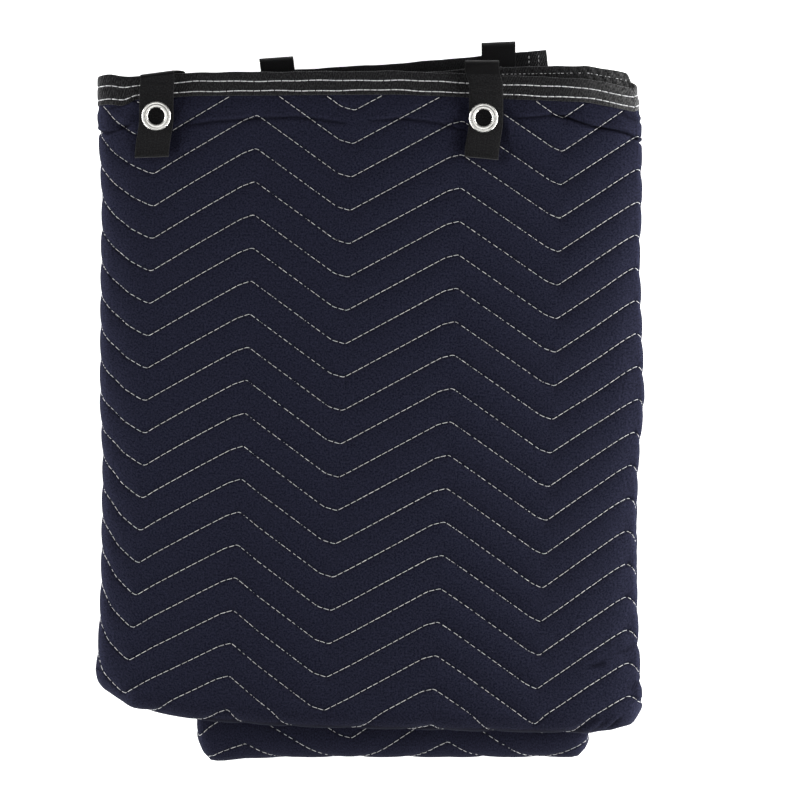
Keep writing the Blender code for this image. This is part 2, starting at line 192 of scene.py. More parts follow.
# The folds at each panel's two ends. The last panel ends at the lower hem.
PANEL_ENDS = {
    "second": ("front_fold", "top_fold"),
    "third": ("top_fold", "rear_fold"),
    "back": ("rear_fold", None),
}
LOWER_STAGES = ("second", "top_fold", "third", "rear_fold", "back")

# One row of chevrons, as (x, height over the left valley). Each arm flattens just before its corner.
CHEVRON = (
    (-204, 0), (-117.5, 50.5), (-105.3, 55), (-29.5, 0.2), (-17, -3.3), (76, 46.6), (88, 49.4),
    (170, -6.6), (180, -10.8), (246, 31.5), (253.5, 35.5), (257.5, 33.2), (263, 25.5), (290, 2),
)
# Left of the left valley, as (distance from it, height): the top row, and the rows further down.
TOP_ARM = ((0, 0), (5, 0.7), (21.6, 8), (38, 19.5), (49, 33.6), (75, 62), (110, 35))
LOW_ARM = ((0, 0), (3, 0.8), (12.5, 9.6), (22.5, 19.8), (27.5, 31), (50, 62), (80, 35))
LOW_SHARE = ((0, 0.0), (3, 0.12), (6, 0.26), (9, 0.42), (11, 0.72), (13, 1.0))
LEFT_VALLEY = -204.0
# How a row's corners wander from row to row: the share of the drift, and a slow sideways bow.
DRIFT_SHARE = ((-204, 0.9), (-105, 1.0), (90, 1.0), (165, 0.98), (205, 0.75), (252, 0.28))
DRIFT_BOW = 2.8
BOW_ROWS = 17.0
# The same on the lower flap, where the rows keep their real spacing.
FLAP_CHEVRON = (
    (-190, -23), (-160, 2.5), (-152, 10), (-142, 16.5), (-133, 20.5), (-117, 26), (-28, -28),
    (-17, -31), (62, 22), (74, 28), (150, -22), (163, -26), (253, 22),
)
FLAP_PERIOD = 191.0
FLAP_WAVE = ((-117, 27), (-28, -27), (-17, -30), (62, 22))
FLAP_ROW_Y = -350.6

# How far below the hem the cloth is drawn in finer steps, for the creases there.
CREASED = 66.0
# Creases in the front panel and its fold, along (x, y) paths. They dent the cloth, and painted shade darkens
# them.
CREASES = (
    Crease(
        ((-171, 257.5), (-147, 261.7), (-113, 263.9), (-73, 266), (-45, 263.6), (-21, 259.7)),
        1.5,
        2.2,
        14.0,
    ),
    Crease(((0, 262), (27, 264.3), (46, 263), (62, 260.3), (77, 257), (89, 252.8)), 1.5, 2.2, 14.0),
    Crease(((128, 269.8), (139, 264.8), (153, 265.5), (171, 267.5), (179, 266.4)), 1.4, 2.2, 8.0),
    Crease(
        (
            (171, 268.5), (185, 266.3), (196, 262.3), (211, 257), (228, 254.4), (243, 251),
            (251, 246), (262, 240),
        ),
        3.6,
        1.7,
        10.0,
    ),
    Crease(((231, 273), (238, 269.5), (246, 265.5), (254, 262)), 1.6, 2.2, 6.0),
    Crease(((-262, 252), (-253, 252.5), (-247, 251.2), (-241, 252.5), (-236, 254)), 2.8, 1.8, 6.0),
    Crease(((-236, 254), (-230, 257.4), (-224, 259.5)), 2.6, 2.0, 4.0),
    Crease(((-246, 273), (-239, 276), (-233, 278.5), (-226, 281)), 1.8, 2.2, 6.0),
    Crease(((207, -251.5), (215, -249.5), (224, -246.8)), 1.6, 3.0, 5.0),
    Crease(((235, -237), (244, -235.5), (254, -231)), 1.4, 3.0, 5.0),
    Crease(((244, -270.5), (249, -269), (256, -265)), 1.6, 3.0, 5.0),
    Crease(((194, -308), (204, -304), (214, -299.5)), 1.2, 2.2, 5.0),
    Crease(((222, -308.5), (229, -303), (236, -297.5)), 3.2, 2.2, 4.0),
    Crease(((206, -311), (214, -306), (221, -301)), 1.2, 2.0, 4.0),
)
# How the two sides stray from a straight line, as (y, shift of x).
LEFT_STRAY = (
    (-265, -2.5), (-225, 0.5), (-170, 3), (-56, 4.6), (0, 2), (94, 3.3), (188, 4.5), (235, 1.5),
    (305, 1),
)
RIGHT_STRAY = (
    (-290, 0.5), (-225, -3.5), (-170, -5.5), (-112, -6), (-56, -3), (0, 2.5), (94, -1), (131, -2.5),
    (188, -0.5), (244, -1), (290, -4.5),
)

TABS = (
    Tab("front_tab_left", -200.3, -204.6, 308.0, -200.3, 266.8, 0.13, 0.0, 228.2, 0.035, 0.8),
    Tab("front_tab_right", 109.6, 105.3, 319.5, 107.2, 265.1, 0.0, 0.0, 226.6, -0.095, -3.8),
    Tab("rear_tab_left", -87.0, -87.0, 322.9, None, None, 0.07, -0.13, None, 0.0, 0.0),
    Tab("rear_tab_right", 121.5, 121.5, 337.4, None, None, 0.045, 0.0, None, 0.0, 0.0),
)
CHANCE = np.random.default_rng(7)

# The front hem's binding slips down and spreads at its left end.
SPREAD_X = -219.0
SPREAD_REACH = 16.0
SPREAD = 0.28

# Small puckers in the front fold's right corner.
PUCKER_X = 232.0
PUCKER_REACH = 16.0
PUCKER_DEPTH = 0.9
PUCKER_PITCH = 4.2

# Where painted shade darkens the front fold's nose, which lies close over the flap.
FLAP_SHADE = (-170.0, 210.0)
# A crease whose path ends further out than this doesn't fade out there.
CREASE_SIDE = 240.0

# The height of the rows of stitching over the middle of the bound cloth.
TAPE_FACE = HEM_CLOTH / 2 + PIECE_GAP + TAPE - 0.25
# One leg of the tape's U, as (distance in from the edge, height), with a dip along each row of stitching.
TAPE_LEG = (
    (21.0, -0.35), (20.4, -0.02), (18.6, 0.05), (17.5, -0.1), (16.8, -0.28), (16.1, -0.1),
    (14.6, 0.08), (12, 0.14), (9.6, 0.08), (8.2, -0.1), (7.5, -0.28), (6.8, -0.1), (5.2, 0.06),
    (2.6, 0.05), (0.8, -0.05), (-0.3, -0.35),
)
# One stitch: (share along it, share of its half width, how proud it stands in thread widths).
STITCH = (
    (0.0, 0.4, -0.3), (0.07, 0.9, 0.15), (0.3, 1.0, 0.35), (0.7, 1.0, 0.35), (0.93, 0.9, 0.15),
    (1.0, 0.4, -0.3),
)
# The webbing's rounded outline, as (share of the half width, share of the half thickness).
STRAP = (
    (-1, 0.3), (-0.985, 0.75), (-0.95, 1), (-0.5, 1), (0, 1), (0.5, 1), (0.95, 1), (0.985, 0.75),
    (1, 0.3),
)
# The eyelet's turned outline, as (radius, height over the webbing).
EYELET = (
    (EYELET_HOLE, -1.6), (EYELET_HOLE, 0.3), (8.05, 0.9), (8.5, 1.35), (9.2, 1.6), (10.2, 1.62),
    (11.0, 1.42), (11.45, 1.12), (11.75, 1.08), (12.0, 1.2), (12.6, 1.22), (13.2, 1.0),
    (13.6, 0.55), (13.75, 0.0), (13.6, -0.2), (9.0, -0.2), (9.0, -1.6),
)


def table(rows, x):
    """The table's value at x, on straight lines between its rows."""
    places, values = zip(*rows)
    return np.interp(x, places, values)


def rounded_table(rows, x, reach=1.5):
    """table() with its corners rounded off over a few millimetres."""
    offsets = np.array([-1.0, -0.5, 0.0, 0.5, 1.0]) * reach
    return np.mean([table(rows, np.asarray(x) + offset) for offset in offsets], axis=0)


def smooth(share):
    share = np.clip(share, 0.0, 1.0)
    return share * share * (3 - 2 * share)


def blend(first, second, share):
    return first + (second - first) * share


def points(x, y, z):
    """Arrays of millimetres as rows of metres, in the frame's own origin."""
    x, y, z = np.broadcast_arrays(x, y, z)
    return np.stack([x, y - Y_CENTRE, z], axis=-1) * MM


def sag(y):
    return SAG * (np.maximum(y - SAG_START, 0.0) / SAG_REACH) ** 2


def ply_level(name, fan):
    ply = PLIES[name]
    return CLOTH / 2 + ply.level * PLY_PITCH + ply.hem_rise * fan


def across(leg, place, lift, fan):
    """(x, height in the strip) of points that lie lift from the cloth's middle, towards its face."""
    if leg in PLIES:
        return place + 0.0 * lift, ply_level(leg, fan) + PLIES[leg].face_side * lift
    fold = WIDTH_FOLDS[leg]
    first = ply_level(fold.first, fan)
    second = ply_level(fold.second, fan)
    radius = np.abs(first - second) / 2 + fold.face_out * lift
    height = (first + second) / 2 + np.sign(first - second) * radius * np.cos(np.pi * place)
    return fold.x + fold.bulge * radius * np.sin(np.pi * place), height


def hem_y(leg, place):
    if leg in PLIES:
        return rounded_table(PLIES[leg].edge, place, 2.0 if leg == "second" else 6.0)
    fold = WIDTH_FOLDS[leg]
    ends = [rounded_table(PLIES[name].edge, fold.x, 6.0) for name in (fold.first, fold.second)]
    return blend(*ends, place)


def fold_edge(name, x):
    edge = rounded_table(LENGTH_FOLDS[name].edge, x, 9.0 if name == "top_fold" else 3.5)
    if name != "front_fold":
        return edge
    away = x - PUCKER_X
    return edge + PUCKER_DEPTH * np.exp(-((away / PUCKER_REACH) ** 2)) * np.sin(away / PUCKER_PITCH)


def spread_out(leg, place):
    """How much wider than usual the top binding is."""
    if leg == "outer":
        return 1 + SPREAD * smooth(place / 0.5)
    return 1 + SPREAD * smooth((SPREAD_X - place) / SPREAD_REACH) * float(leg == "front")


def round_fold(name, x, height, angle):
    fold = LENGTH_FOLDS[name]
    radius = BEND_GAP + (height if fold.face_out else STRIP - height)
    centre = fold_edge(name, x) - fold.turn * OUTER_BEND
    return centre + fold.turn * radius * np.sin(angle), fold.z + radius * np.cos(angle)


def flat_x(leg, place):
    """Distance across the unfolded front, which runs on round the two side folds."""
    if leg == "outer":
        return LEFT_FOLD - (1 - place) * LEFT_ARC
    if leg == "right":
        return RIGHT_FOLD + place * RIGHT_ARC
    return place


def fold_x(leg, place):
    """Where to read a long fold's edge: round a side fold it is the same all the way."""
    return place if leg in PLIES else WIDTH_FOLDS[leg].x


def panel_bottom(leg, place):
    return round_fold("front_fold", fold_x(leg, place), 0.0, 0.0)[0]


def fold_run(share):
    """Distance round the front fold of the quilting, whose rows are drawn apart over its upper half."""
    return OUTER_BEND * np.pi * (share - FOLD_STRETCH * np.sin(np.pi * share) ** 2)


def flat_y(stage, leg, place, share):
    """Distance up the flat front, of places on it and round its fold."""
    bottom = panel_bottom(leg, place)
    return bottom - fold_run(share) if stage == "front_fold" else blend(hem_y(leg, place), bottom, share)


def fold_share(run):
    """The share of the way round the front fold, from such a distance."""
    shares = np.linspace(0.0, 1.0, 201)
    return np.interp(run, fold_run(shares), shares)


def tuck(stage, share):
    """How far the panels under the front one lie in from its two sides."""
    shares = {"front_fold": smooth(2 * share - 1), "second": 1.0, "top_fold": 1.0, "third": 1 - smooth(share)}
    return TUCK * shares.get(stage, 0.0)


def stray(x, y):
    """The sides' small wander, which fades out towards the middle."""
    left = table(LEFT_STRAY, y) * smooth((-x - STRAY_START) / STRAY_REACH)
    right = table(RIGHT_STRAY, y) * smooth((x - STRAY_START) / STRAY_REACH)
    return left + right


def narrowing(stage, share):
    shares = {"third": smooth(share), "rear_fold": 1.0, "back": 1 - smooth(share)}
    return shares.get(stage, 0.0) + 0.0 * share


def narrowed(x, share):
    """The width that x comes to where the cloth is drawn in by this share of the whole way."""
    return blend(x, REAR_CENTRE + REAR_WIDTH * x, share)


def widening(stage, leg, place, depth):
    """How far the rear ply's free edge has slanted out from its place at the hem."""
    if leg != "rear":
        return 0.0
    slanted = smooth((depth - SLANT_START) / SLANT_REACH) if stage == "front" else 1.0
    return REAR_WIDENING * np.clip((place - REAR_FREE_EDGE + RIM) / (RIM - HEM_STEP), 0.0, 1.0) * slanted


def stage_ends(stage, x, height):
    """(y at its start, y at its end, z) of a panel under the front one."""
    first, second = PANEL_ENDS[stage]
    start, z = round_fold(first, x, height, math.pi)
    end = round_fold(second, x, height, 0.0)[0] if second else LOWER_HEM
    return start, end, z


def on_blanket(stage, leg, place, share, lift):
    """Places on the folded blanket, in metres. share runs from 0 to 1 along the stage, and round its bend."""
    fan = 0.0
    depth = 1e3
    if stage == "front":
        top = hem_y(leg, place)
        y = blend(top, panel_bottom(leg, place), share)
        depth = top - y
        fan = smooth(1 - (depth - HEM_STEP) / FAN_REACH)
    x, height = across(leg, place, lift, fan)
    x = x + widening(stage, leg, place, depth)
    if stage == "front":
        z = round_fold("front_fold", x, height, 0.0)[1] - sag(y)
    elif stage in LENGTH_FOLDS:
        y, z = round_fold(stage, x, height, np.pi * share)
    else:
        start, end, z = stage_ends(stage, x, height)
        y = blend(start, end, share)
    z = z * (1 - DROOP * rounded_table(SIDE_DROOP, x, 6.0))
    straying = {"front": 1.0, "front_fold": 1 - smooth(share)}.get(stage, 0.0)
    tucked = smooth((np.abs(x) - TUCK_START) / TUCK_REACH) * tuck(stage, share)
    x = x + stray(x, y) * straying - np.sign(x) * tucked
    return points(narrowed(x, narrowing(stage, share)), y, z)


def chevron(x, number):
    """How far a numbered row lies above its left valley at x."""
    bow = DRIFT_BOW * np.sin(np.pi * np.clip(number / BOW_ROWS, 0, 1)) * smooth((245 - x) / 40)
    moved = x + ROW_DRIFT * number * table(DRIFT_SHARE, x) - bow
    before = LEFT_VALLEY - moved
    arms = [rounded_table(arm, before, 3.0) for arm in (TOP_ARM, LOW_ARM)]
    arm = blend(*arms, table(LOW_SHARE, number))
    return np.where(before > 0, arm, rounded_table(CHEVRON, moved))


def row_number(x, y):
    """Which row passes through a place on the flat front. Whole numbers are lines of stitching."""
    number = (ROW_ZERO - y) / ROW_SPACING
    for _ in range(4):
        number = (ROW_ZERO + chevron(x, number) - y) / table(ROW_PITCH, x)
    return number


def row_y(x, number):
    return ROW_ZERO + chevron(x, number) - number * table(ROW_PITCH, x)


def long_chevrons():
    """The lower panels' chevrons, repeated beyond the ones that show on the flap."""
    before = [(x + FLAP_PERIOD * turn, y) for turn in range(-5, 0) for x, y in FLAP_WAVE]
    after = [(x + FLAP_PERIOD * turn, y) for turn in range(2, 4) for x, y in FLAP_WAVE]
    return (*(row for row in before if row[0] < -195), *FLAP_CHEVRON, *(row for row in after if row[0] > 258))


def rear_tangent(x):
    """Where the panels turn into the rear fold."""
    return fold_edge("rear_fold", np.clip(x, LEFT, RIGHT)) + OUTER_BEND


def lower_run(stage, x, share):
    """Distance along the cloth under the front panel. It falls from the front fold to the lower hem."""
    rear = rear_tangent(x)
    return {
        "second": TOP_TANGENT + BEND_RUN + (TOP_TANGENT - FRONT_TANGENT) * (1 - share),
        "top_fold": TOP_TANGENT + BEND_RUN * (1 - share),
        "third": blend(TOP_TANGENT, rear, share),
        "rear_fold": rear - BEND_RUN * share,
        "back": rear - BEND_RUN - (LOWER_HEM - rear) * share,
    }[stage]


def cloth_run(stage, x, share):
    """Distance along the cloth, all the way from the top hem down to the lower one."""
    fold_start = TOP_FOLD_EDGE - FRONT_FOLD_EDGE + 2 * BEND_RUN + TOP_FOLD_EDGE - 3 * OUTER_BEND
    if stage == "front":
        return fold_start + PANEL * (1 - share)
    if stage == "front_fold":
        return fold_start - BEND_RUN * share
    return lower_run(stage, x, share)


def lower_row_number(stage, x, share):
    width = narrowed(x, narrowing(stage, share))
    return (FLAP_ROW_Y + rounded_table(LONG_CHEVRONS, width) - lower_run(stage, x, share)) / ROW_SPACING


def puff_height(number, along):
    """The quilt's relief: each line of stitching pulls the cloth in, with small puckers beside it."""
    away = np.abs(number - np.round(number)) * ROW_SPACING * ROW_SLOPE
    height = -STITCH_SINK + (PUFF + STITCH_SINK) * (1 - np.exp(-away / PUFF_RISE))
    pucker = RIPPLE * np.sin(along / 1.9 + 2.0 * np.sin(along / 23.0) + 3.0 * np.round(number))
    return height + pucker * np.exp(-((away / RIPPLE_REACH) ** 2))


def crease_depth(crease, x, y):
    start, end = crease.path[0][0], crease.path[-1][0]
    left = smooth((x - start) / crease.fade) if start > -CREASE_SIDE else 1.0
    right = smooth((end - x) / crease.fade) if end < CREASE_SIDE else 1.0
    away = (y - table(crease.path, x)) / crease.width
    return crease.depth * left * right * (np.exp(-(away**2)) - 0.5 * np.exp(-((away - 1.8) ** 2)))


def painted_shade_mark(stage, leg, place, share):
    """How much painted shade darkens a place on the front panel: along the creases, and on the fold's nose
    over the flap.
    """
    painted_shade = 0.0 * share
    if stage not in ("front", "front_fold") or leg not in ("outer", "front", "right"):
        return painted_shade
    x = flat_x(leg, place) + 0.0 * share
    if stage == "front_fold":
        over_flap = smooth((x - FLAP_SHADE[0]) / 14) * smooth((FLAP_SHADE[1] - x) / 14)
        painted_shade = 0.8 * over_flap * smooth((share - 0.3) / 0.06)
    y = flat_y(stage, leg, place, share)
    for crease in CREASES:
        start, end = crease.path[0][0], crease.path[-1][0]
        ends = smooth((x - start) / 5 + 0.5) * smooth((end - x) / 5 + 0.5)
        away = (y - table(crease.path, x)) / (0.55 * crease.width)
        painted_shade = np.maximum(painted_shade, np.minimum(crease.depth / 2.0, 1) * ends * np.exp(-(away**2)))
    return painted_shade


def unevenness(x, y):
    """Slow waves in the cloth, mostly under 0.6 mm."""
    total = 0.0
    for rate, heading, phase in WAVES:
        total = total + np.sin(rate * (x * math.cos(heading) + y * math.sin(heading)) + phase)
    return WAVE_HEIGHT * total


def front_relief(stage, leg, place, share):
    """(height off the plain cloth, row number) on the front panel and its fold."""
    x = flat_x(leg, place) + 0.0 * share
    y = flat_y(stage, leg, place, share)
    number = row_number(x, y)
    height = puff_height(number, x) + unevenness(x, y)
    for crease in CREASES:
        height = height - crease_depth(crease, x, y)
    if stage == "front_fold":
        return height * (1 - smooth((share - 0.75) / 0.25)), number
    pressed = under_tab(x, y)
    height = blend(height, np.minimum(height, 0.0), pressed)
    return height * smooth((hem_y(leg, place) - HEM_BAND * spread_out(leg, place) - y) / 14.0), number


def relief(stage, leg, place, share):
    """(height off the plain cloth, row number) of the cloth's face, in millimetres."""
    plain = 0.0 * share
    if leg in ("second", "inner", "third"):
        return plain, plain + 0.5
    if stage in ("front", "front_fold"):
        return (plain, plain + 0.5) if leg == "rear" else front_relief(stage, leg, place, share)
    x = flat_x(leg, place) + plain
    number = lower_row_number(stage, x, share)
    height = puff_height(number, x)
    if stage == "second":
        height = height * smooth(share / 0.04)
    if stage in ("rear_fold", "back"):
        down = {"outer": place, "front": 1.0, "right": 1 - place}.get(leg, 0.0)
        height = height - PUFF * down * (smooth(2 * share - 1) if stage == "rear_fold" else 1.0)
    if stage == "back":
        height = height * smooth((1 - share) * 30 - 1.5)
    if leg == "rear":
        height = height * smooth((REAR_FREE_EDGE - HEM_BAND - place) / 14)
    return height, number


def under_tab(x, y):
    """1 under the front tabs' tails, where the quilt is pressed flat."""
    pressed = 0.0
    for tab in TABS[:2]:
        beside = smooth((WEBBING_WIDTH / 2 + 7 - np.abs(x - blend(tab.x, tab.tail_x, 0.5))) / 6)
        below = smooth((y - tab.tail_y + 8) / 7)
        pressed = np.maximum(pressed, beside * below)
    return pressed


def cloth_half(stage, leg, place, share):
    """Half of the cloth's thickness, which is pressed thin inside the bindings."""
    edges = {"rear": REAR_FREE_EDGE, "third": THIRD_FREE_EDGE}
    from_hem = np.full_like(share, 1e3)
    if stage == "front":
        from_hem = (hem_y(leg, place) - panel_bottom(leg, place)) * share / spread_out(leg, place)
    if stage == "back":
        from_hem = (LOWER_HEM - round_fold("rear_fold", 0.0, 0.0, math.pi)[0]) * (1 - share)
    inside = np.minimum(from_hem, edges[leg] - place) if leg in edges else from_hem
    return blend(HEM_CLOTH / 2, CLOTH / 2, smooth((inside - HEM_BAND) / (HEM_STEP - HEM_BAND)))


def add_piece(name, mesh, nodes=()):
    """A smooth-shaded piece on the one body. It replaces the named nodes' solids."""
    mesh.polygons.foreach_set("use_smooth", np.ones(len(mesh.polygons), bool))
    made = bpy.data.objects.new(name, mesh)
    bpy.context.scene.collection.objects.link(made)
    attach(made, "root")
    if nodes:
        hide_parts(*nodes)
    return made


def finish_mesh(name, corners, faces, material, uv=None, rows=None):
    """A piece from points. uv is the cloth laid flat; rows is (row number, how much painted shade darkens the
    place).
    """
    mesh = bpy.data.meshes.new(name)
    mesh.from_pydata(np.asarray(corners).tolist(), [], np.asarray(faces).tolist())
    mesh.materials.append(material)
    loops = np.empty(len(mesh.loops), np.int32)
    mesh.loops.foreach_get("vertex_index", loops)
    for layer_name, values in (("flat_metres", uv), ("rows", rows)):
        if values is not None:
            layer = mesh.uv_layers.new(name=layer_name)
            layer.data.foreach_set("uv", np.asarray(values, np.float32)[loops].reshape(-1))
    return add_piece(name, mesh)


def tube_faces(rings, count, closed=False):
    """Faces of a tube of rings that hold count points each. A closed one joins its last ring to its first."""
    made = []
    for ring in range(rings if closed else rings - 1):
        here, beyond = ring * count, (ring + 1) % rings * count
        for corner in range(count):
            after = (corner + 1) % count
            made.append((here + corner, here + after, beyond + after, beyond + corner))
    return made


def grid_faces(columns, rows, flip=False, start=0):
    """Faces of a grid of columns x rows points, stored a column at a time."""
    column, row = np.meshgrid(np.arange(columns - 1), np.arange(rows - 1), indexing="ij")
    first = (column * rows + row).reshape(-1) + start
    faces = np.stack([first, first + rows, first + rows + 1, first + 1], axis=1)
    return faces[:, ::-1] if flip else faces


def spread(start, end, step):
    """Evenly spaced places from start to end, about step apart, both ends included."""
    return np.linspace(start, end, max(2, round(abs(end - start) / step) + 1))


def lines_across(front_step, other_step, arc_steps, second_step=40.0):
    """(leg, place) for each line across the strip, from the rear free edge to the third one."""
    rims = [HEM_BAND - 0.4, HEM_BAND + 3, HEM_STEP + 4, 40, 60]
    lines = [("rear", REAR_FREE_EDGE - depth) for depth in (0, *rims)]
    for leg, start, end, step in (
        ("rear", REAR_FREE_EDGE - RIM, LEFT_FOLD, other_step), ("outer", 0.0, 1.0, 1 / arc_steps),
        ("front", LEFT_FOLD, RIGHT_FOLD, front_step), ("right", 0.0, 1.0, 1.5 / arc_steps),
        ("second", RIGHT_FOLD, INNER_FOLD, second_step), ("inner", 0.0, 1.0, 1.5 / arc_steps),
        ("third", INNER_FOLD, THIRD_FREE_EDGE - RIM, 2.5 * other_step),
    ):
        first = 0 if leg == "rear" else 1
        lines += [(leg, place) for place in spread(start, end, step)[first:]]
    return lines + [("third", THIRD_FREE_EDGE - depth) for depth in (*reversed(rims), 0)]


def stages_along(names, step, arc_steps, hem_steps=6):
    """(stage, shares) from the top hem to the lower one."""
    hem = np.linspace(0.0, HEM_STEP / PANEL, hem_steps)
    stages = []
    for stage in names:
        shares = spread(0, 1, step / PANEL)
        if stage in LENGTH_FOLDS:
            shares = np.linspace(0, 1, arc_steps + 1)
        if stage == "front":
            creased = spread(HEM_STEP / PANEL, CREASED / PANEL, 0.36 * step / PANEL)
            shares = np.concatenate([hem[:-1], creased[:-1], spread(CREASED / PANEL, 1.0, step / PANEL)])
        if stage == "back":
            shares = np.concatenate([spread(0, 1 - HEM_STEP / PANEL, step / PANEL), 1 - hem[::-1][1:]])
        stages.append((stage, shares if not stages else shares[1:]))
    return stages


def cloth_patch(side, lines, stages, start):
    """(corners, faces, flat places, rows) of one stretch of the quilted cloth's face (1) or reverse (-1)."""
    corners, flats, rows = [], [], []
    for leg, place in lines:
        for stage, share in stages:
            lift = cloth_half(stage, leg, place, share) * side
            number = 0.5 + 0.0 * share
            if side > 0:
                raised, number = relief(stage, leg, place, share)
                lift = lift + raised
            corners.append(on_blanket(stage, leg, place, share, lift))
            x = flat_x(leg, place) + widening(stage, leg, place, 1e3) + 0.0 * share
            run = cloth_run(stage, x, share)
            flats.append(np.stack([x, run], axis=1) * MM)
            # Painted shade along the creases and on the fold's nose, kept in the rows layer for the material.
            painted_shade = painted_shade_mark(stage, leg, place, share) if side > 0 else 0.0 * share
            rows.append(np.stack([number, painted_shade], axis=1))
    count = sum(len(share) for _, share in stages)
    faces = grid_faces(len(lines), count, flip=side > 0, start=start)
    return np.concatenate(corners), faces, np.concatenate(flats), np.concatenate(rows)


def cloth_side(name, side, patches, material):
    made = []
    for lines, stages in patches:
        start = sum(len(patch[0]) for patch in made)
        made.append(cloth_patch(side, lines, stages, start))
    corners, faces, flats, rows = (np.concatenate(column) for column in zip(*made))
    sheet = finish_mesh(name, corners, faces, material, flats, rows)
    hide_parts("quilted_blanket")
    return sheet


def leg_of(x):
    """(leg, place) of flat distances across the strip."""
    return {
        "rear": (x < LEFT_FOLD - LEFT_ARC, 2 * LEFT_FOLD - LEFT_ARC - x),
        "outer": ((x >= LEFT_FOLD - LEFT_ARC) & (x < LEFT_FOLD), 1 - (LEFT_FOLD - x) / LEFT_ARC),
        "front": ((x >= LEFT_FOLD) & (x <= RIGHT_FOLD), x),
        "right": (x > RIGHT_FOLD, (x - RIGHT_FOLD) / RIGHT_ARC),
    }


def on_face(stage, leg, place, share, proud):
    """Places that stand proud of the cloth's face."""
    raised, _ = relief(stage, leg, place, share)
    return on_blanket(stage, leg, place, share, cloth_half(stage, leg, place, share) + raised + proud)


def front_spots(x, y, proud):
    """Places that stand proud of the front's face, from flat distances across it and along it."""
    made = np.zeros((len(x), 3))
    for leg, (here, place) in leg_of(x).items():
        if leg == "rear" or not here.any():
            continue
        spot = place[here]
        bottom = panel_bottom(leg, spot) + 0.0 * spot
        top = hem_y(leg, spot) + 0.0 * spot
        for stage in ("front", "front_fold"):
            share = (top - y[here]) / (top - bottom)
            inside = share <= 1
            if stage == "front_fold":
                share = fold_share(bottom - y[here])
                inside = ~inside
            if inside.any():
                indices = np.flatnonzero(here)[inside]
                made[indices] = on_face(stage, leg, spot[inside], share[inside], proud[indices])
    return made


def lower_spots(x, run, proud):
    """The same on the panels under the front one, from run, the distance along the cloth."""
    made = np.zeros((len(x), 3))
    top, rear, bend = TOP_TANGENT, rear_tangent(x), BEND_RUN
    stages = {
        "second": (run > top + bend, 1 - (run - top - bend) / (top - FRONT_TANGENT)),
        "top_fold": ((run <= top + bend) & (run > top), 1 - (run - top) / bend),
        "third": ((run <= top) & (run > rear), (top - run) / (top - rear)),
        "rear_fold": ((run <= rear) & (run > rear - bend), (rear - run) / bend),
        "back": (run <= rear - bend, (rear - bend - run) / (LOWER_HEM - rear)),
    }
    for leg, (here, place) in leg_of(x).items():
        for stage, (there, share) in stages.items():
            inside = here & there
            if inside.any():
                made[inside] = on_face(stage, leg, place[inside], share[inside], proud[inside])
    return made


def lower_row(x, number):
    """Distance along the cloth of a numbered row, on the panels under the front one."""
    run = FLAP_ROW_Y - number * ROW_SPACING + 0.0 * x
    rear = rear_tangent(x)
    back = rear - BEND_RUN
    for _ in range(6):
        narrow = smooth((TOP_TANGENT - run) / (TOP_TANGENT - rear))
        narrow = np.where(run < back, 1 - smooth((back - run) / (LOWER_HEM - rear)), narrow)
        run = FLAP_ROW_Y + rounded_table(LONG_CHEVRONS, narrowed(x, narrow)) - number * ROW_SPACING
    return run


def settled(middle, up, surface):
    """The same places, moved along up until they lie on the surface's own mesh."""
    for index, (spot, way) in enumerate(zip(middle, up)):
        hit = surface.ray_cast(Vector(spot + way * 0.004), Vector(-way), 0.008)[0]
        if hit:
            middle[index] = hit
    return middle


def stitch_line(x, along, spots, surface=None, pitch=STITCH_PITCH, share=STITCH_SHARE, thread=THREAD):
    """(corners, faces) of stitches along flat places. spots(x, along, proud) puts them on the cloth."""
    base = spots(x, along, np.zeros_like(x))
    steps = np.linalg.norm(np.diff(base, axis=0), axis=1) / MM
    length = np.concatenate([[0.0], np.cumsum(steps)])
    count = max(1, round(length[-1] / pitch))
    pitch = length[-1] / count
    starts = (np.arange(count) + 0.5 * (1 - share)) * pitch + CHANCE.uniform(-0.05, 0.05, count) * pitch
    at = (starts[:, None] + np.array([part[0] for part in STITCH]) * share * pitch).reshape(-1)
    lifts = np.tile([part[2] * thread * MM for part in STITCH], count)
    middle = spots(np.interp(at, length, x), np.interp(at, length, along), np.zeros_like(at))
    above = spots(np.interp(at, length, x), np.interp(at, length, along), np.ones_like(at))
    up = above - middle
    up /= np.linalg.norm(up, axis=1)[:, None]
    if surface:
        middle = settled(middle, up, surface)
    middle = middle + up * lifts[:, None]
    rings = middle.reshape(count, len(STITCH), 3)
    heading = np.gradient(rings, axis=1)
    heading /= np.maximum(np.linalg.norm(heading, axis=2), 1e-9)[..., None]
    side = np.cross(heading, up.reshape(rings.shape))
    side /= np.maximum(np.linalg.norm(side, axis=2), 1e-9)[..., None]
    rise = np.cross(side, heading)
    half = np.array([part[1] for part in STITCH])[None, :, None, None] * thread / 2 * MM
    angles = np.arange(6) * math.pi / 3
    turn = np.cos(angles)[:, None] * side[:, :, None] + np.sin(angles)[:, None] * rise[:, :, None]
    corners = (rings[:, :, None] + turn * half).reshape(-1, 3)
    faces = tube_faces(len(STITCH), 6)
    last = 6 * (len(STITCH) - 1)
    for caps in ((3, 2, 1, 0), (5, 4, 3, 0)):
        faces.append(caps)
        faces.append(tuple(last + corner for corner in reversed(caps)))
    offsets = np.arange(count) * 6 * len(STITCH)
    return corners, (np.array(faces)[None] + offsets[:, None, None]).reshape(-1, 4)


def stitches(name, made, material):
    corners, faces = [], []
    start = 0
    for line_corners, line_faces in made:
        corners.append(line_corners)
        faces.append(line_faces + start)
        start += len(line_corners)
    return finish_mesh(name, np.concatenate(corners), np.concatenate(faces), material)


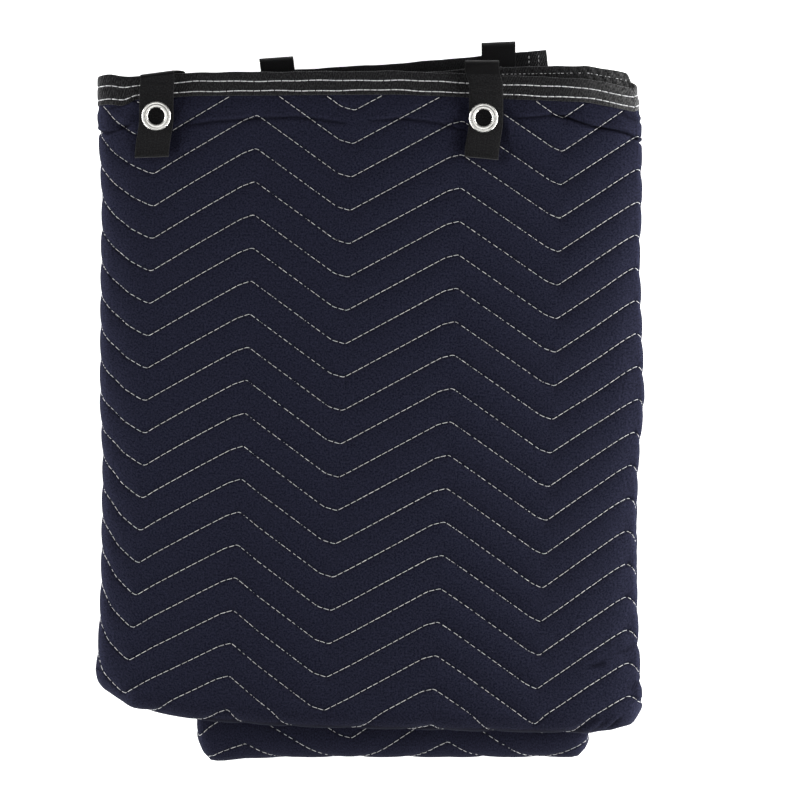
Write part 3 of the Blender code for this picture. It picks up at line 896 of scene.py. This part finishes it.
def quilting_lines(surface):
    """The rows of stitching on the front panel and round its sides and its fold."""
    made = []
    x = spread(-271.0, 261.0, 1.5)
    legs = [(leg, place) for leg, (_, place) in leg_of(x).items()]
    there = [here for here, _ in leg_of(x).values()]
    top = np.select(there, [hem_y(leg, place) - HEM_BAND * spread_out(leg, place) for leg, place in legs])
    bottom = np.select(there, [panel_bottom(leg, place) for leg, place in legs])
    for number in range(FIRST_ROW, LAST_ROW + 1):
        y = row_y(x, number)
        shown = (y < top - 0.3) & (y > bottom - fold_run(0.76))
        made += [stitch_line(x[run], y[run], front_spots, surface) for run in runs(shown)]
    return made


def lower_quilting_lines(surface):
    """The rows of stitching that show on the edges and folds of the panels underneath."""
    made = []
    x = spread(-420.0, 261.0, 2.0)
    top, rear, bend = TOP_TANGENT, rear_tangent(x), BEND_RUN
    for number in LOWER_ROWS:
        run = lower_row(x, number)
        on_side = ((x > LEFT_FOLD - 26) & (x < LEFT_FOLD + 2)) | (x > RIGHT_FOLD - 2)
        on_flap = (run < rear + 24) & (run > rear - bend) & (x > LEFT_FOLD)
        on_top = (run > top - 3) & (run < top + bend) & (x < LEFT_FOLD)
        on_panels = (run < top + bend + 560) & (run > rear - bend - 590)
        shown = (on_side | on_flap | on_top) & on_panels
        made += [stitch_line(x[part], run[part], lower_spots, surface) for part in runs(shown)]
    return made


def runs(shown):
    """Index ranges of the stretches where shown is true."""
    edges = np.flatnonzero(np.diff(np.concatenate([[0], shown.astype(int), [0]])))
    return [slice(start, end) for start, end in zip(edges[::2], edges[1::2]) if end - start > 3]


def tape_ring():
    """The tape's U over an edge, as (distances in from the edge, lifts)."""
    top = HEM_CLOTH / 2 + PIECE_GAP + TAPE
    outer = [(depth, top + extra) for depth, extra in TAPE_LEG]
    round_end = [(-1.0, 0.75), (-1.2, 0.0), (-1.0, -0.75)]
    inner = HEM_CLOTH / 2 + 0.15
    back = [(20.6, -inner), (0.2, -inner), (0.2, inner), (20.6, inner)]
    return np.array(outer + round_end + [(depth, -lift) for depth, lift in reversed(outer)] + back).T


def tape_wave(along, seed):
    """A slow ripple of the bound edge, in millimetres."""
    return 0.3 * np.sin(along / 11.0 + seed) + 0.22 * np.sin(along / 4.7 + 2.3 * seed)


def edge_depth(stage, leg, place, depth):
    """The share along the front panel, or the lowest one, that lies depth in from its hem."""
    if stage == "front":
        return depth / (hem_y(leg, place) - panel_bottom(leg, place))
    return 1 - depth / (LOWER_HEM - round_fold("rear_fold", fold_x(leg, place), 0.0, math.pi)[0])


def ring_tube(name, rings, flats, materials, nodes, shaded=()):
    """A band swept through rings of points, with closed ends. Shaded rings take the second material, a darker
    copy with painted shade.
    """
    count = len(rings[0])
    shape = bmesh.new()
    vertices = [shape.verts.new(corner) for corner in np.concatenate(rings)]
    for face in tube_faces(len(rings), count):
        shape.faces.new([vertices[index] for index in face])
    shape.faces.new(vertices[:count][::-1])
    shape.faces.new(vertices[-count:])
    layer = shape.loops.layers.uv.new("flat_metres")
    shape.verts.index_update()
    for face in shape.faces:
        for loop in face.loops:
            loop[layer].uv = flats[loop.vert.index]
        face.material_index = int(min(loop.vert.index for loop in face.loops) // count in shaded)
    if shape.calc_volume(signed=True) < 0:
        bmesh.ops.reverse_faces(shape, faces=shape.faces[:])
    mesh = bpy.data.meshes.new(name)
    for material in materials:
        mesh.materials.append(material)
    shape.to_mesh(mesh)
    shape.free()
    return add_piece(name, mesh, nodes)


def hem_tape(name, node, stage, lines, materials):
    depths, lifts = tape_ring()
    rings, flats = [], []
    # The rear ply's rings take the darker tape, painted shade.
    shaded = [index for index, (leg, _) in enumerate(lines) if leg == "rear"]
    for leg, place in lines:
        x = flat_x(leg, place) if leg in ("front", "outer", "right") else place
        wave = tape_wave(x, PLIES[leg].level if leg in PLIES else 0.0) if leg != "third" else 0.0
        eased = depths * spread_out(leg, place) + wave * np.clip(1 - depths / 20, 0, 1) * 0.8
        outer = 1 + 0.07 * tape_wave(x * 1.7, 1.0) if leg in PLIES else 1.0
        if leg == "second" and stage == "front":
            folds = np.sin((x - 0.9 * depths) / 1.5) + 0.5 * np.sin((x - 1.6 * depths) / 0.8 + 1.0)
            growing = (0.14 + 0.2 * smooth((x - 170) / 50)) * smooth((x - 110) / 50)
            outer = outer + growing * folds * (np.abs(lifts) > 1)
        rings.append(on_blanket(stage, leg, place, edge_depth(stage, leg, place, eased), lifts * outer))
        flats += [(x * MM, across_tape * MM) for across_tape in depths + lifts]
    return ring_tube(name, rings, flats, materials, [node], shaded)


def side_tape(name, node, leg, edge, stages, materials):
    depths, lifts = tape_ring()
    place = edge - depths
    rings, flats = [], []
    for stage, shares in stages:
        for share in shares:
            held = share
            if stage == "front":
                held = max(share, edge_depth(stage, leg, edge - 10.0, HEM_BAND + 0.3))
            if stage == "back":
                held = min(share, edge_depth(stage, leg, edge - 10.0, HEM_BAND + 0.3))
            rings.append(on_blanket(stage, leg, place, held, lifts))
            run = cloth_run(stage, 200.0, share)
            flats += [(run * MM, across_tape * MM) for across_tape in depths + lifts]
    # The rear ply's binding takes the darker tape all along, painted shade.
    shaded = range(len(rings)) if leg == "rear" else ()
    return ring_tube(name, rings, flats, materials, [node], shaded)


def front_hem_spots(x, depth, proud):
    """Spots for stitches on the front hem's tape, from flat distances across it and depths below its edge."""
    made = np.zeros((len(x), 3))
    for leg, (here, place) in leg_of(x).items():
        if leg != "rear" and here.any():
            spot = place[here]
            share = edge_depth("front", leg, spot, depth[here] * spread_out(leg, spot))
            made[here] = on_blanket("front", leg, spot, share, TAPE_FACE + proud[here])
    return made


def second_hem_spots(place, depth, proud):
    """The same on the ply behind it, whose reverse is up."""
    share = edge_depth("front", "second", place, depth)
    return on_blanket("front", "second", place, share, -TAPE_FACE - proud)


def rear_side_spots(depth, share, proud):
    """The same beside the rear ply's free edge, from depths in from it and shares of the front panel."""
    return on_blanket("front", "rear", REAR_FREE_EDGE - depth, share, -TAPE_FACE - proud)


def tape_lines():
    """The rows of stitching along the bindings that show."""
    made = []
    for depth in TAPE_ROWS:
        x = spread(LEFT_FOLD - 12, RIGHT_FOLD + 6, 2.0)
        wander = 0.3 * np.sin(x / 17.0 + depth) + 0.2 * np.sin(x / 6.1)
        made.append(stitch_line(x, depth + wander, front_hem_spots, None, 6.4, 0.95, 0.95))
        x = spread(-60.0, RIGHT - 9, 2.0)
        made.append(stitch_line(x, depth - 1.8 + 0.0 * x, second_hem_spots, None, 4.0, 0.62))
        share = np.linspace(0.004, 0.2, 80)
        made.append(stitch_line(depth + 0.0 * share, share, rear_side_spots, None, 4.4, 0.62))
    return made


def tab_lines():
    """Dark rows of stitches across the front tabs, where they are sewn down and along their ends."""
    made = []
    for tab in TABS[:2]:
        for y in (*[hem_at(tab, "front") - depth for depth in TAPE_ROWS], tab.tail_y + 3.6):
            across_tab = spread(-14.5, 14.5, 1.0)

            def spots(aside, along, proud, tab=tab):
                centre = tab_centre(tab, along)
                near_end = near_tail_end(tab, along)
                height = tail_top_z() - TAIL_DIP * near_end - 0.22 + proud
                return points(centre + aside, along + tab.tail_tilt * near_end * aside, height)

            made.append(stitch_line(across_tab, y + 0.0 * across_tab, spots, None, 3.2, 0.8, 0.55))
    return made


def dense(path, step):
    """A path through the same places with points at most step apart."""
    made = [np.array(path[0])]
    for first, second in zip(path, path[1:]):
        first, second = np.array(first), np.array(second)
        count = max(1, math.ceil(np.linalg.norm(second - first) / step))
        made += [first + (second - first) * (index + 1) / count for index in range(count)]
    return made


def half_turn(y, z, radius, reach, rising):
    """Points round the end of a doubled strip. It bulges by reach along Y, and goes up or down in Z."""
    turn = 1 if rising else -1
    angles = np.linspace(0, math.pi, 13)
    return [(y + reach * math.sin(angle), z - turn * radius * math.cos(angle)) for angle in angles]


def hem_side_z(leg, side):
    """Height of the bound hem's upper (side 1) or lower (side -1) surface."""
    base = LENGTH_FOLDS["front_fold"].z + BEND_GAP
    return base + float(ply_level(leg, 1.0)) + side * (HEM_CLOTH / 2 + PIECE_GAP + TAPE)


def hem_at(tab, ply):
    """Where a ply's hem lies at a tab."""
    return float(table(PLIES[ply].edge, tab.x))


def near_tail_end(tab, y):
    """1 at the lower end of a front tab's tail, and 0 from its eyelet up."""
    return smooth((tab.eyelet_y - EYELET_RADIUS - y) / 20) if tab.eyelet_y else 0.0


def front_tab_path(tab):
    """Middle of a front tab's webbing: down under the tail, up the tail, over the loop and down behind."""
    hem = hem_at(tab, "front")
    under = hem_side_z("front", 1) + PIECE_GAP + WEBBING / 2
    over = under + WEBBING + TAIL_GAP
    behind = hem_side_z("front", -1) - PIECE_GAP - WEBBING / 2
    tail_radius = (over - under) / 2
    loop_radius = (over - behind) / 2
    loop_reach = min(loop_radius, tab.loop_y - hem - WEBBING / 2)
    tail_y = tab.tail_y + tail_radius + WEBBING / 2
    loop_y = tab.loop_y - loop_reach - WEBBING / 2
    tail = half_turn(tail_y, under + tail_radius, tail_radius, -tail_radius, rising=True)
    loop = half_turn(loop_y, behind + loop_radius, loop_radius, loop_reach, rising=False)
    return [(hem - 4.0, under), *tail, (tab.eyelet_y, over), *loop, (hem - HEM_BAND, behind)]


def rear_tab_path(tab):
    """Middle of a rear tab's webbing: up one side of the hem, over the loop and down the other."""
    hem = hem_at(tab, "rear")
    over = hem_side_z("rear", 1) + PIECE_GAP + WEBBING / 2
    behind = hem_side_z("rear", -1) - PIECE_GAP - WEBBING / 2
    radius = REAR_LOOP_RADIUS
    loop = half_turn(tab.loop_y - radius - WEBBING / 2, (over + behind) / 2, radius, radius, rising=False)
    depths = (HEM_BAND, 8.0, 0.0, -2.0)
    front = [(hem - depth, over) for depth in depths]
    return [*front, *loop, *[(hem - depth, behind) for depth in reversed(depths)]]


def tab_centre(tab, y):
    return tab.x + (tab.tail_x - tab.x) * smooth((tab.eyelet_y - y) / 38) if tab.eyelet_y else tab.x


def make_tab(tab, materials):
    path = dense(front_tab_path(tab) if tab.eyelet_y else rear_tab_path(tab), 3.0)
    path = np.array([(y, z - sag(y)) for y, z in path])
    path[:, 1] -= TAIL_DIP * near_tail_end(tab, path[:, 0] + 1)
    along = np.gradient(path, axis=0)
    along /= np.linalg.norm(along, axis=1)[:, None]
    outwards = np.stack([-along[:, 1], along[:, 0]], axis=1)
    walked = np.concatenate([[0.0], np.cumsum(np.linalg.norm(np.diff(path, axis=0), axis=1))])
    outline = [*STRAP, *[(across_share, -thick) for across_share, thick in reversed(STRAP)]]
    turned = walked[int(np.argmax(path[:, 0]))]
    rings, flats = [], []
    # Above the front hem, round the loop, the webbing takes the darker copy, painted shade; rear tabs take it
    # all along.
    shade_start = hem_at(tab, "front") - 0.5
    shaded = [index for index, spot in enumerate(path) if spot[0] > shade_start or not tab.eyelet_y]
    for spot, way, distance in zip(path, outwards, walked):
        ring = []
        near_loop = smooth((spot[0] - tab.loop_y + 24) / 16)
        near_end = near_tail_end(tab, spot[0])
        spur = SPUR * tab.tilt / SPUR_TILT * smooth((distance - turned) / 5) if tab.eyelet_y else 0.0
        for across_share, thick in outline:
            y, z = spot + way * thick * WEBBING / 2
            x = tab_centre(tab, spot[0]) + across_share * WEBBING_WIDTH / 2
            x = x + tab.lean * (spot[0] - tab.loop_y + 8) + spur
            y = y + (tab.tilt * near_loop + tab.tail_tilt * near_end) * (x - tab.x)
            x = x + tab.loop_shift * near_loop
            ring.append(points(x, y, z))
            flats.append(((across_share * 16 + thick * 0.3) * MM, distance * MM))
        rings.append(np.array(ring))
    strap = ring_tube(tab.name + "_webbing", rings, flats, materials, [tab.name], shaded)
    if tab.eyelet_y:
        cut_hole(strap, tab)
    return strap


def tail_top_z():
    """Height of a front tail's upper side, on which the eyelet's flange lies."""
    return hem_side_z("front", 1) + PIECE_GAP + 2 * WEBBING + TAIL_GAP


def cut_hole(strap, tab):
    """Cuts the eyelet's hole through the tail alone and keeps the result as the mesh."""
    shape = bmesh.new()
    radius = (EYELET_HOLE + 1.2) * MM
    sizes = {"radius1": radius, "radius2": radius, "depth": 2 * WEBBING * MM}
    bmesh.ops.create_cone(shape, cap_ends=True, segments=48, **sizes)
    mesh = bpy.data.meshes.new("hole")
    shape.to_mesh(mesh)
    shape.free()
    cutter = bpy.data.objects.new("hole", mesh)
    cutter.location = points(tab.eyelet_x, tab.eyelet_y, tail_top_z() - WEBBING / 2)
    bpy.context.scene.collection.objects.link(cutter)
    modifier = strap.modifiers.new("hole", "BOOLEAN")
    modifier.object = cutter
    bpy.context.view_layer.update()
    graph = bpy.context.evaluated_depsgraph_get()
    cut = bpy.data.meshes.new_from_object(strap.evaluated_get(graph))
    strap.modifiers.clear()
    strap.data = cut
    bpy.data.objects.remove(cutter)


def make_eyelet(tab, material):
    steps = 96
    angles = np.arange(steps) * 2 * math.pi / steps
    radii, heights = np.array(EYELET).T
    z = tail_top_z() + heights
    rings = []
    for angle in angles:
        x = tab.eyelet_x + radii * math.cos(angle)
        y = tab.eyelet_y + radii * math.sin(angle)
        rings.append(points(x, y, z))
    faces = tube_faces(steps, len(EYELET), closed=True)
    name = tab.name.replace("tab", "eyelet")
    eyelet = finish_mesh(name + "_ring", np.concatenate(rings), faces, material)
    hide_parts(name)
    return eyelet


def srgb(*values):
    """A colour given as 0 to 255 sRGB, in linear values."""
    shares = [value / 255 for value in values]
    linear = [share / 12.92 if share < 0.04045 else ((share + 0.055) / 1.055) ** 2.4 for share in shares]
    return (*linear, 1.0)


class Nodes:
    """A few short calls for building a material."""

    def __init__(self, name, **settings):
        self.material = bpy.data.materials.new(name)
        self.material.use_nodes = True
        self.tree = self.material.node_tree
        self.shader = self.tree.nodes["Principled BSDF"]
        for socket, value in settings.items():
            self.shader.inputs[socket.replace("_", " ")].default_value = value

    def add(self, kind, inputs=(), **settings):
        node = self.tree.nodes.new("ShaderNode" + kind)
        for setting, value in settings.items():
            setattr(node, setting, value)
        for socket, value in dict(inputs).items():
            if isinstance(value, bpy.types.NodeSocket):
                self.tree.links.new(value, node.inputs[socket])
            else:
                node.inputs[socket].default_value = value
        return node

    def uv(self, layer="flat_metres"):
        return self.add("UVMap", uv_map=layer).outputs["UV"]

    def place(self):
        return self.add("TexCoord").outputs["Object"]

    def scaled(self, vector, scale):
        return self.add("Mapping", {"Vector": vector, "Scale": scale}).outputs["Vector"]

    def noise(self, vector, scale, detail=2.0, rough=0.5):
        inputs = {"Vector": vector, "Scale": scale, "Detail": detail, "Roughness": rough}
        return self.add("TexNoise", inputs).outputs["Fac"]

    def wave(self, vector, scale, direction, distortion=0.0):
        inputs = {"Vector": vector, "Scale": scale, "Distortion": distortion}
        return self.add("TexWave", inputs, wave_type="BANDS", bands_direction=direction).outputs["Fac"]

    def math(self, operation, first, second=0.0, clamp=False):
        node = self.add("Math", {0: first, 1: second}, operation=operation, use_clamp=clamp)
        return node.outputs["Value"]

    def ramp(self, value, low, high, to_low=0.0, to_high=1.0):
        inputs = {"Value": value, "From Min": low, "From Max": high, "To Min": to_low, "To Max": to_high}
        return self.add("MapRange", inputs).outputs["Result"]

    def mix(self, share, first, second):
        node = self.add("Mix", data_type="RGBA")
        for socket, value in ((0, share), (6, first), (7, second)):
            if isinstance(value, bpy.types.NodeSocket):
                self.tree.links.new(value, node.inputs[socket])
            else:
                node.inputs[socket].default_value = value
        return node.outputs[2]

    def bump(self, height, distance, strength=1.0, normal=None):
        inputs = {"Height": height, "Distance": distance, "Strength": strength}
        if normal:
            inputs["Normal"] = normal
        return self.add("Bump", inputs).outputs["Normal"]

    def link(self, value, socket):
        self.tree.links.new(value, self.shader.inputs[socket])


def quilt_material(name, colour, light, dark):
    """Plain-woven cloth: a fine weave, a little lint, and painted shade in the furrows at the stitching, in
    the creases and on the fold's nose.
    """
    nodes = Nodes(name, Roughness=0.95, Specular_IOR_Level=0.04, Sheen_Weight=0.04, Sheen_Roughness=0.3)
    nodes.shader.inputs["Sheen Tint"].default_value = srgb(205, 212, 250)
    uv = nodes.uv()
    place = nodes.place()
    mottle = nodes.ramp(nodes.noise(place, 150.0, 3.0, 0.6), 0.3, 0.7)
    fine = nodes.ramp(nodes.noise(uv, 560.0, 3.0, 0.8), 0.38, 0.62)
    threads = nodes.math("MULTIPLY", nodes.wave(uv, 260.0, "X"), nodes.wave(uv, 260.0, "Y"))
    shade = nodes.mix(nodes.math("ADD", 0.4, nodes.math("MULTIPLY", mottle, 0.5)), dark, colour)
    shade = nodes.mix(nodes.math("MULTIPLY", fine, 0.7), shade, light)
    rows = nodes.add("SeparateXYZ", {"Vector": nodes.uv("rows")}).outputs
    from_line = nodes.math("FRACT", nodes.math("ADD", rows["X"], 0.5))
    away = nodes.math("ABSOLUTE", nodes.math("SUBTRACT", from_line, 0.5))
    # Painted shade: the colour darkens in the furrow along each line of stitching, which the bump below also
    # dents.
    furrow_and_shade = nodes.ramp(away, 0.0, 0.1, 1.0, 0.0)
    shade = nodes.mix(nodes.math("MULTIPLY", furrow_and_shade, 0.35), shade, dark)
    # Painted shade in the creases and on the fold's nose over the flap, from the rows layer.
    shade = nodes.mix(nodes.math("MULTIPLY", rows["Y"], 0.85, True), shade, (0.002, 0.002, 0.004, 1.0))
    specks = nodes.add("TexVoronoi", {"Vector": place, "Scale": 42.0}, feature="F1")
    near = nodes.math("LESS_THAN", specks.outputs["Distance"], 0.024)
    chosen = nodes.add("SeparateColor", {"Color": specks.outputs["Color"]}).outputs["Red"]
    lint = nodes.math("MULTIPLY", near, nodes.math("GREATER_THAN", chosen, 0.86))
    nodes.link(nodes.mix(nodes.math("MULTIPLY", lint, 0.5), shade, srgb(96, 98, 110)), "Base Color")
    normal = nodes.bump(nodes.math("SUBTRACT", 0.0, nodes.math("MULTIPLY", furrow_and_shade, furrow_and_shade)), 0.0012)
    normal = nodes.bump(threads, 0.00022, 0.8, normal)
    nodes.link(nodes.bump(nodes.noise(uv, 180.0, 3.0, 0.6), 0.0005, 0.7, normal), "Normal")
    return nodes.material


def tape_material(name, colour, light, dark):
    """Twill tape: close ribs across it, fuzz, and a painted highlight that pales its right end."""
    nodes = Nodes(name, Roughness=0.9, Specular_IOR_Level=0.05, Sheen_Weight=0.6, Sheen_Roughness=0.35)
    nodes.shader.inputs["Sheen Tint"].default_value = srgb(205, 205, 208)
    uv = nodes.uv()
    turned = nodes.add("Mapping", {"Vector": uv, "Rotation": (0.0, 0.0, 0.25)}).outputs["Vector"]
    twill = nodes.wave(turned, 210.0, "X", 1.6)
    fuzz = nodes.noise(nodes.scaled(uv, (1.0, 0.5, 1.0)), 900.0, 3.0, 0.7)
    shade = nodes.mix(nodes.ramp(twill, 0.2, 0.9), dark, colour)
    shade = nodes.mix(nodes.ramp(fuzz, 0.42, 0.72), shade, light)
    place = nodes.place()
    # Painted highlight: the tape pales, in patches, towards its right end.
    painted_highlight = nodes.ramp(nodes.add("SeparateXYZ", {"Vector": place}).outputs["X"], 0.18, 0.25, 0.0, 0.9)
    painted_highlight = nodes.math("MULTIPLY", painted_highlight, nodes.ramp(nodes.noise(place, 420.0, 3.0, 0.7), 0.36, 0.66))
    nodes.link(nodes.mix(painted_highlight, shade, srgb(84, 84, 84)), "Base Color")
    normal = nodes.bump(twill, 0.0004, 0.9)
    nodes.link(nodes.bump(fuzz, 0.0005, 0.8, normal), "Normal")
    return nodes.material


def webbing_material(name, colour, light, dark):
    """Flat woven webbing: close ribs across it and a fine grain along it."""
    nodes = Nodes(name, Roughness=0.8, Specular_IOR_Level=0.08, Sheen_Weight=0.15, Sheen_Roughness=0.35)
    uv = nodes.uv()
    ribs = nodes.wave(uv, 310.0, "Y", 1.5)
    grain = nodes.wave(uv, 330.0, "X", 0.8)
    fuzz = nodes.noise(uv, 700.0, 2.0, 0.6)
    woven = nodes.math("ADD", nodes.math("MULTIPLY", ribs, 0.65), nodes.math("MULTIPLY", grain, 0.35))
    shade = nodes.mix(nodes.ramp(woven, 0.1, 0.9), dark, colour)
    nodes.link(nodes.mix(nodes.ramp(fuzz, 0.42, 0.66, 0.0, 0.8), shade, light), "Base Color")
    nodes.link(nodes.bump(woven, 0.0005, 0.8), "Normal")
    return nodes.material


def thread_material(name, colour, dark):
    nodes = Nodes(name, Roughness=0.7, Specular_IOR_Level=0.1)
    twist = nodes.noise(nodes.place(), 900.0, 2.0, 0.6)
    nodes.link(nodes.mix(nodes.ramp(twist, 0.35, 0.7), dark, colour), "Base Color")
    nodes.link(nodes.bump(twist, 0.0003, 0.6), "Normal")
    return nodes.material


def nickel_material():
    """Bright nickel with faint brushing and a few darker marks of wear."""
    nodes = Nodes("nickel", Metallic=1.0, Roughness=0.2)
    place = nodes.place()
    marks = nodes.noise(place, 260.0, 3.0, 0.65)
    wear = nodes.ramp(nodes.noise(place, 90.0, 2.0, 0.6), 0.45, 0.75)
    nodes.link(nodes.mix(wear, srgb(232, 231, 226), srgb(202, 201, 196)), "Base Color")
    nodes.link(nodes.ramp(marks, 0.3, 0.75, 0.2, 0.36), "Roughness")
    nodes.link(nodes.bump(marks, 0.00012, 0.5), "Normal")
    return nodes.material


def floor_material():
    nodes = Nodes("pale_floor", Roughness=0.9, Emission_Color=(1.0, 1.0, 1.0, 1.0), Emission_Strength=0.75)
    tone = nodes.noise(nodes.place(), 3.0, 2.0)
    nodes.link(nodes.mix(tone, (0.86, 0.86, 0.86, 1.0), (0.9, 0.9, 0.9, 1.0)), "Base Color")
    return nodes.material


def make_floor():
    mesh = bpy.data.meshes.new("floor")
    mesh.from_pydata([(-6, -6, 0), (6, -6, 0), (6, 6, 0), (-6, 6, 0)], [], [(0, 1, 2, 3)])
    mesh.materials.append(floor_material())
    floor = bpy.data.objects.new("floor", mesh)
    floor.location.z = CAD_BOX[0][2] - 0.0003
    bpy.context.scene.collection.objects.link(floor)
    return floor


def area_light(name, place, target, size, power):
    """A soft box with this size across and up."""
    data = bpy.data.lights.new(name, "AREA")
    data.shape = "RECTANGLE"
    data.size, data.size_y = size
    data.energy = power
    light = bpy.data.objects.new(name, data)
    light.location = place
    light.rotation_euler = (Vector(target) - Vector(place)).to_track_quat("-Z", "Y").to_euler()
    bpy.context.scene.collection.objects.link(light)


def make_world(strength):
    world = bpy.data.worlds.new("studio")
    world.use_nodes = True
    background = world.node_tree.nodes["Background"]
    background.inputs["Color"].default_value = (1.0, 1.0, 1.0, 1.0)
    background.inputs["Strength"].default_value = strength
    bpy.context.scene.world = world


def make_camera():
    """Looks straight down. The lens puts this width, at the front panel's height, across the picture."""
    distance = 8.0
    width = 0.752
    panel_height = 0.076
    sensor = 36.0
    data = bpy.data.cameras.new("camera")
    data.sensor_width = sensor
    data.lens = sensor * distance / width
    data.clip_end = 50.0
    camera = bpy.data.objects.new("camera", data)
    camera.location = (0.0287, -0.0007, panel_height + distance)
    bpy.context.scene.collection.objects.link(camera)
    bpy.context.scene.camera = camera


LONG_CHEVRONS = long_chevrons()
ROUND = 2 * math.pi
WAVES = [(CHANCE.uniform(0.008, 0.05), CHANCE.uniform(0, ROUND), CHANCE.uniform(0, ROUND)) for _ in range(9)]

NAVY = quilt_material("navy_quilt", srgb(18, 19, 31), srgb(44, 45, 62), srgb(9, 10, 18))
REVERSE = quilt_material("black_reverse", srgb(27, 27, 28), srgb(36, 36, 37), srgb(19, 19, 20))
# The second tape is a darker copy, painted shade for the rear ply's bindings.
TAPE_CLOTHS = [
    tape_material("charcoal_tape", srgb(17, 17, 18), srgb(52, 52, 53), srgb(6, 6, 7)),
    tape_material("painted_shade_tape", srgb(15, 15, 16), srgb(33, 33, 34), srgb(6, 6, 7)),
]
# The second webbing is a darker copy, painted shade for the tabs' loops and the rear tabs.
WEBS = [
    webbing_material("black_webbing", srgb(17, 17, 18), srgb(36, 36, 37), srgb(5, 5, 6)),
    webbing_material("shaded_webbing", srgb(9, 9, 10), srgb(15, 15, 16), srgb(5, 5, 6)),
]
THREAD_WHITE = thread_material("pale_thread", srgb(206, 206, 207), srgb(172, 172, 174))
THREAD_BLACK = thread_material("black_thread", srgb(13, 13, 14), srgb(8, 8, 9))
NICKEL = nickel_material()

front_stages = stages_along(("front", "front_fold"), 3.2, 20)
lower_stages = stages_along(LOWER_STAGES, 8.0, 16)
fine_lines = lines_across(3.4, 22.0, 12)
coarse_lines = lines_across(9.0, 16.0, 12)
face = cloth_side("quilt_face", 1, [(fine_lines, front_stages), (coarse_lines, lower_stages)], NAVY)
all_stages = stages_along(("front", "front_fold", *LOWER_STAGES), 24.0, 10)
reverse = cloth_side("quilt_reverse", -1, [(lines_across(20.0, 24.0, 6), all_stages)], REVERSE)

tape_lines_across = lines_across(4.0, 9.0, 12, 1.5)
tapes = [
    hem_tape("top_tape", "top_binding", "front", tape_lines_across, TAPE_CLOTHS),
    hem_tape("bottom_tape", "bottom_binding", "back", lines_across(8.0, 12.0, 8), TAPE_CLOTHS),
    side_tape("rear_side_tape", "side_binding_rear", "rear", REAR_FREE_EDGE, all_stages, TAPE_CLOTHS),
    side_tape("inner_side_tape", "side_binding_inner", "third", THIRD_FREE_EDGE, all_stages, TAPE_CLOTHS),
]
tabs = [make_tab(tab, WEBS) for tab in TABS]
eyelets = [make_eyelet(tab, NICKEL) for tab in TABS if tab.eyelet_y]
face_corners = [vertex.co for vertex in face.data.vertices]
face_tree = BVHTree.FromPolygons(face_corners, [tuple(polygon.vertices) for polygon in face.data.polygons])
sewn = [
    stitches("quilting_stitches", quilting_lines(face_tree), THREAD_WHITE),
    stitches("lower_quilting_stitches", lower_quilting_lines(face_tree), THREAD_WHITE),
    stitches("binding_stitches", tape_lines(), THREAD_WHITE),
    stitches("tab_stitches", tab_lines(), THREAD_BLACK),
]
floor = make_floor()

make_world(0.2)
area_light("main_light", (-0.2, 0.1, 3.0), (0.0, 0.0, 0.0), (2.4, 2.4), 18.5)
area_light("left_light", (-1.0, -0.06, 0.24), (-0.2, -0.06, 0.0), (1.6, 0.28), 21)
area_light("right_light", (0.95, -0.06, 0.24), (0.2, -0.06, 0.0), (1.6, 0.28), 33)
area_light("front_light", (0.0, -0.9, 2.2), (0.0, -0.3, 0.0), (1.4, 0.8), 4)
make_camera()
bpy.context.scene.view_settings.view_transform = "Standard"

bpy.context.view_layer.update()
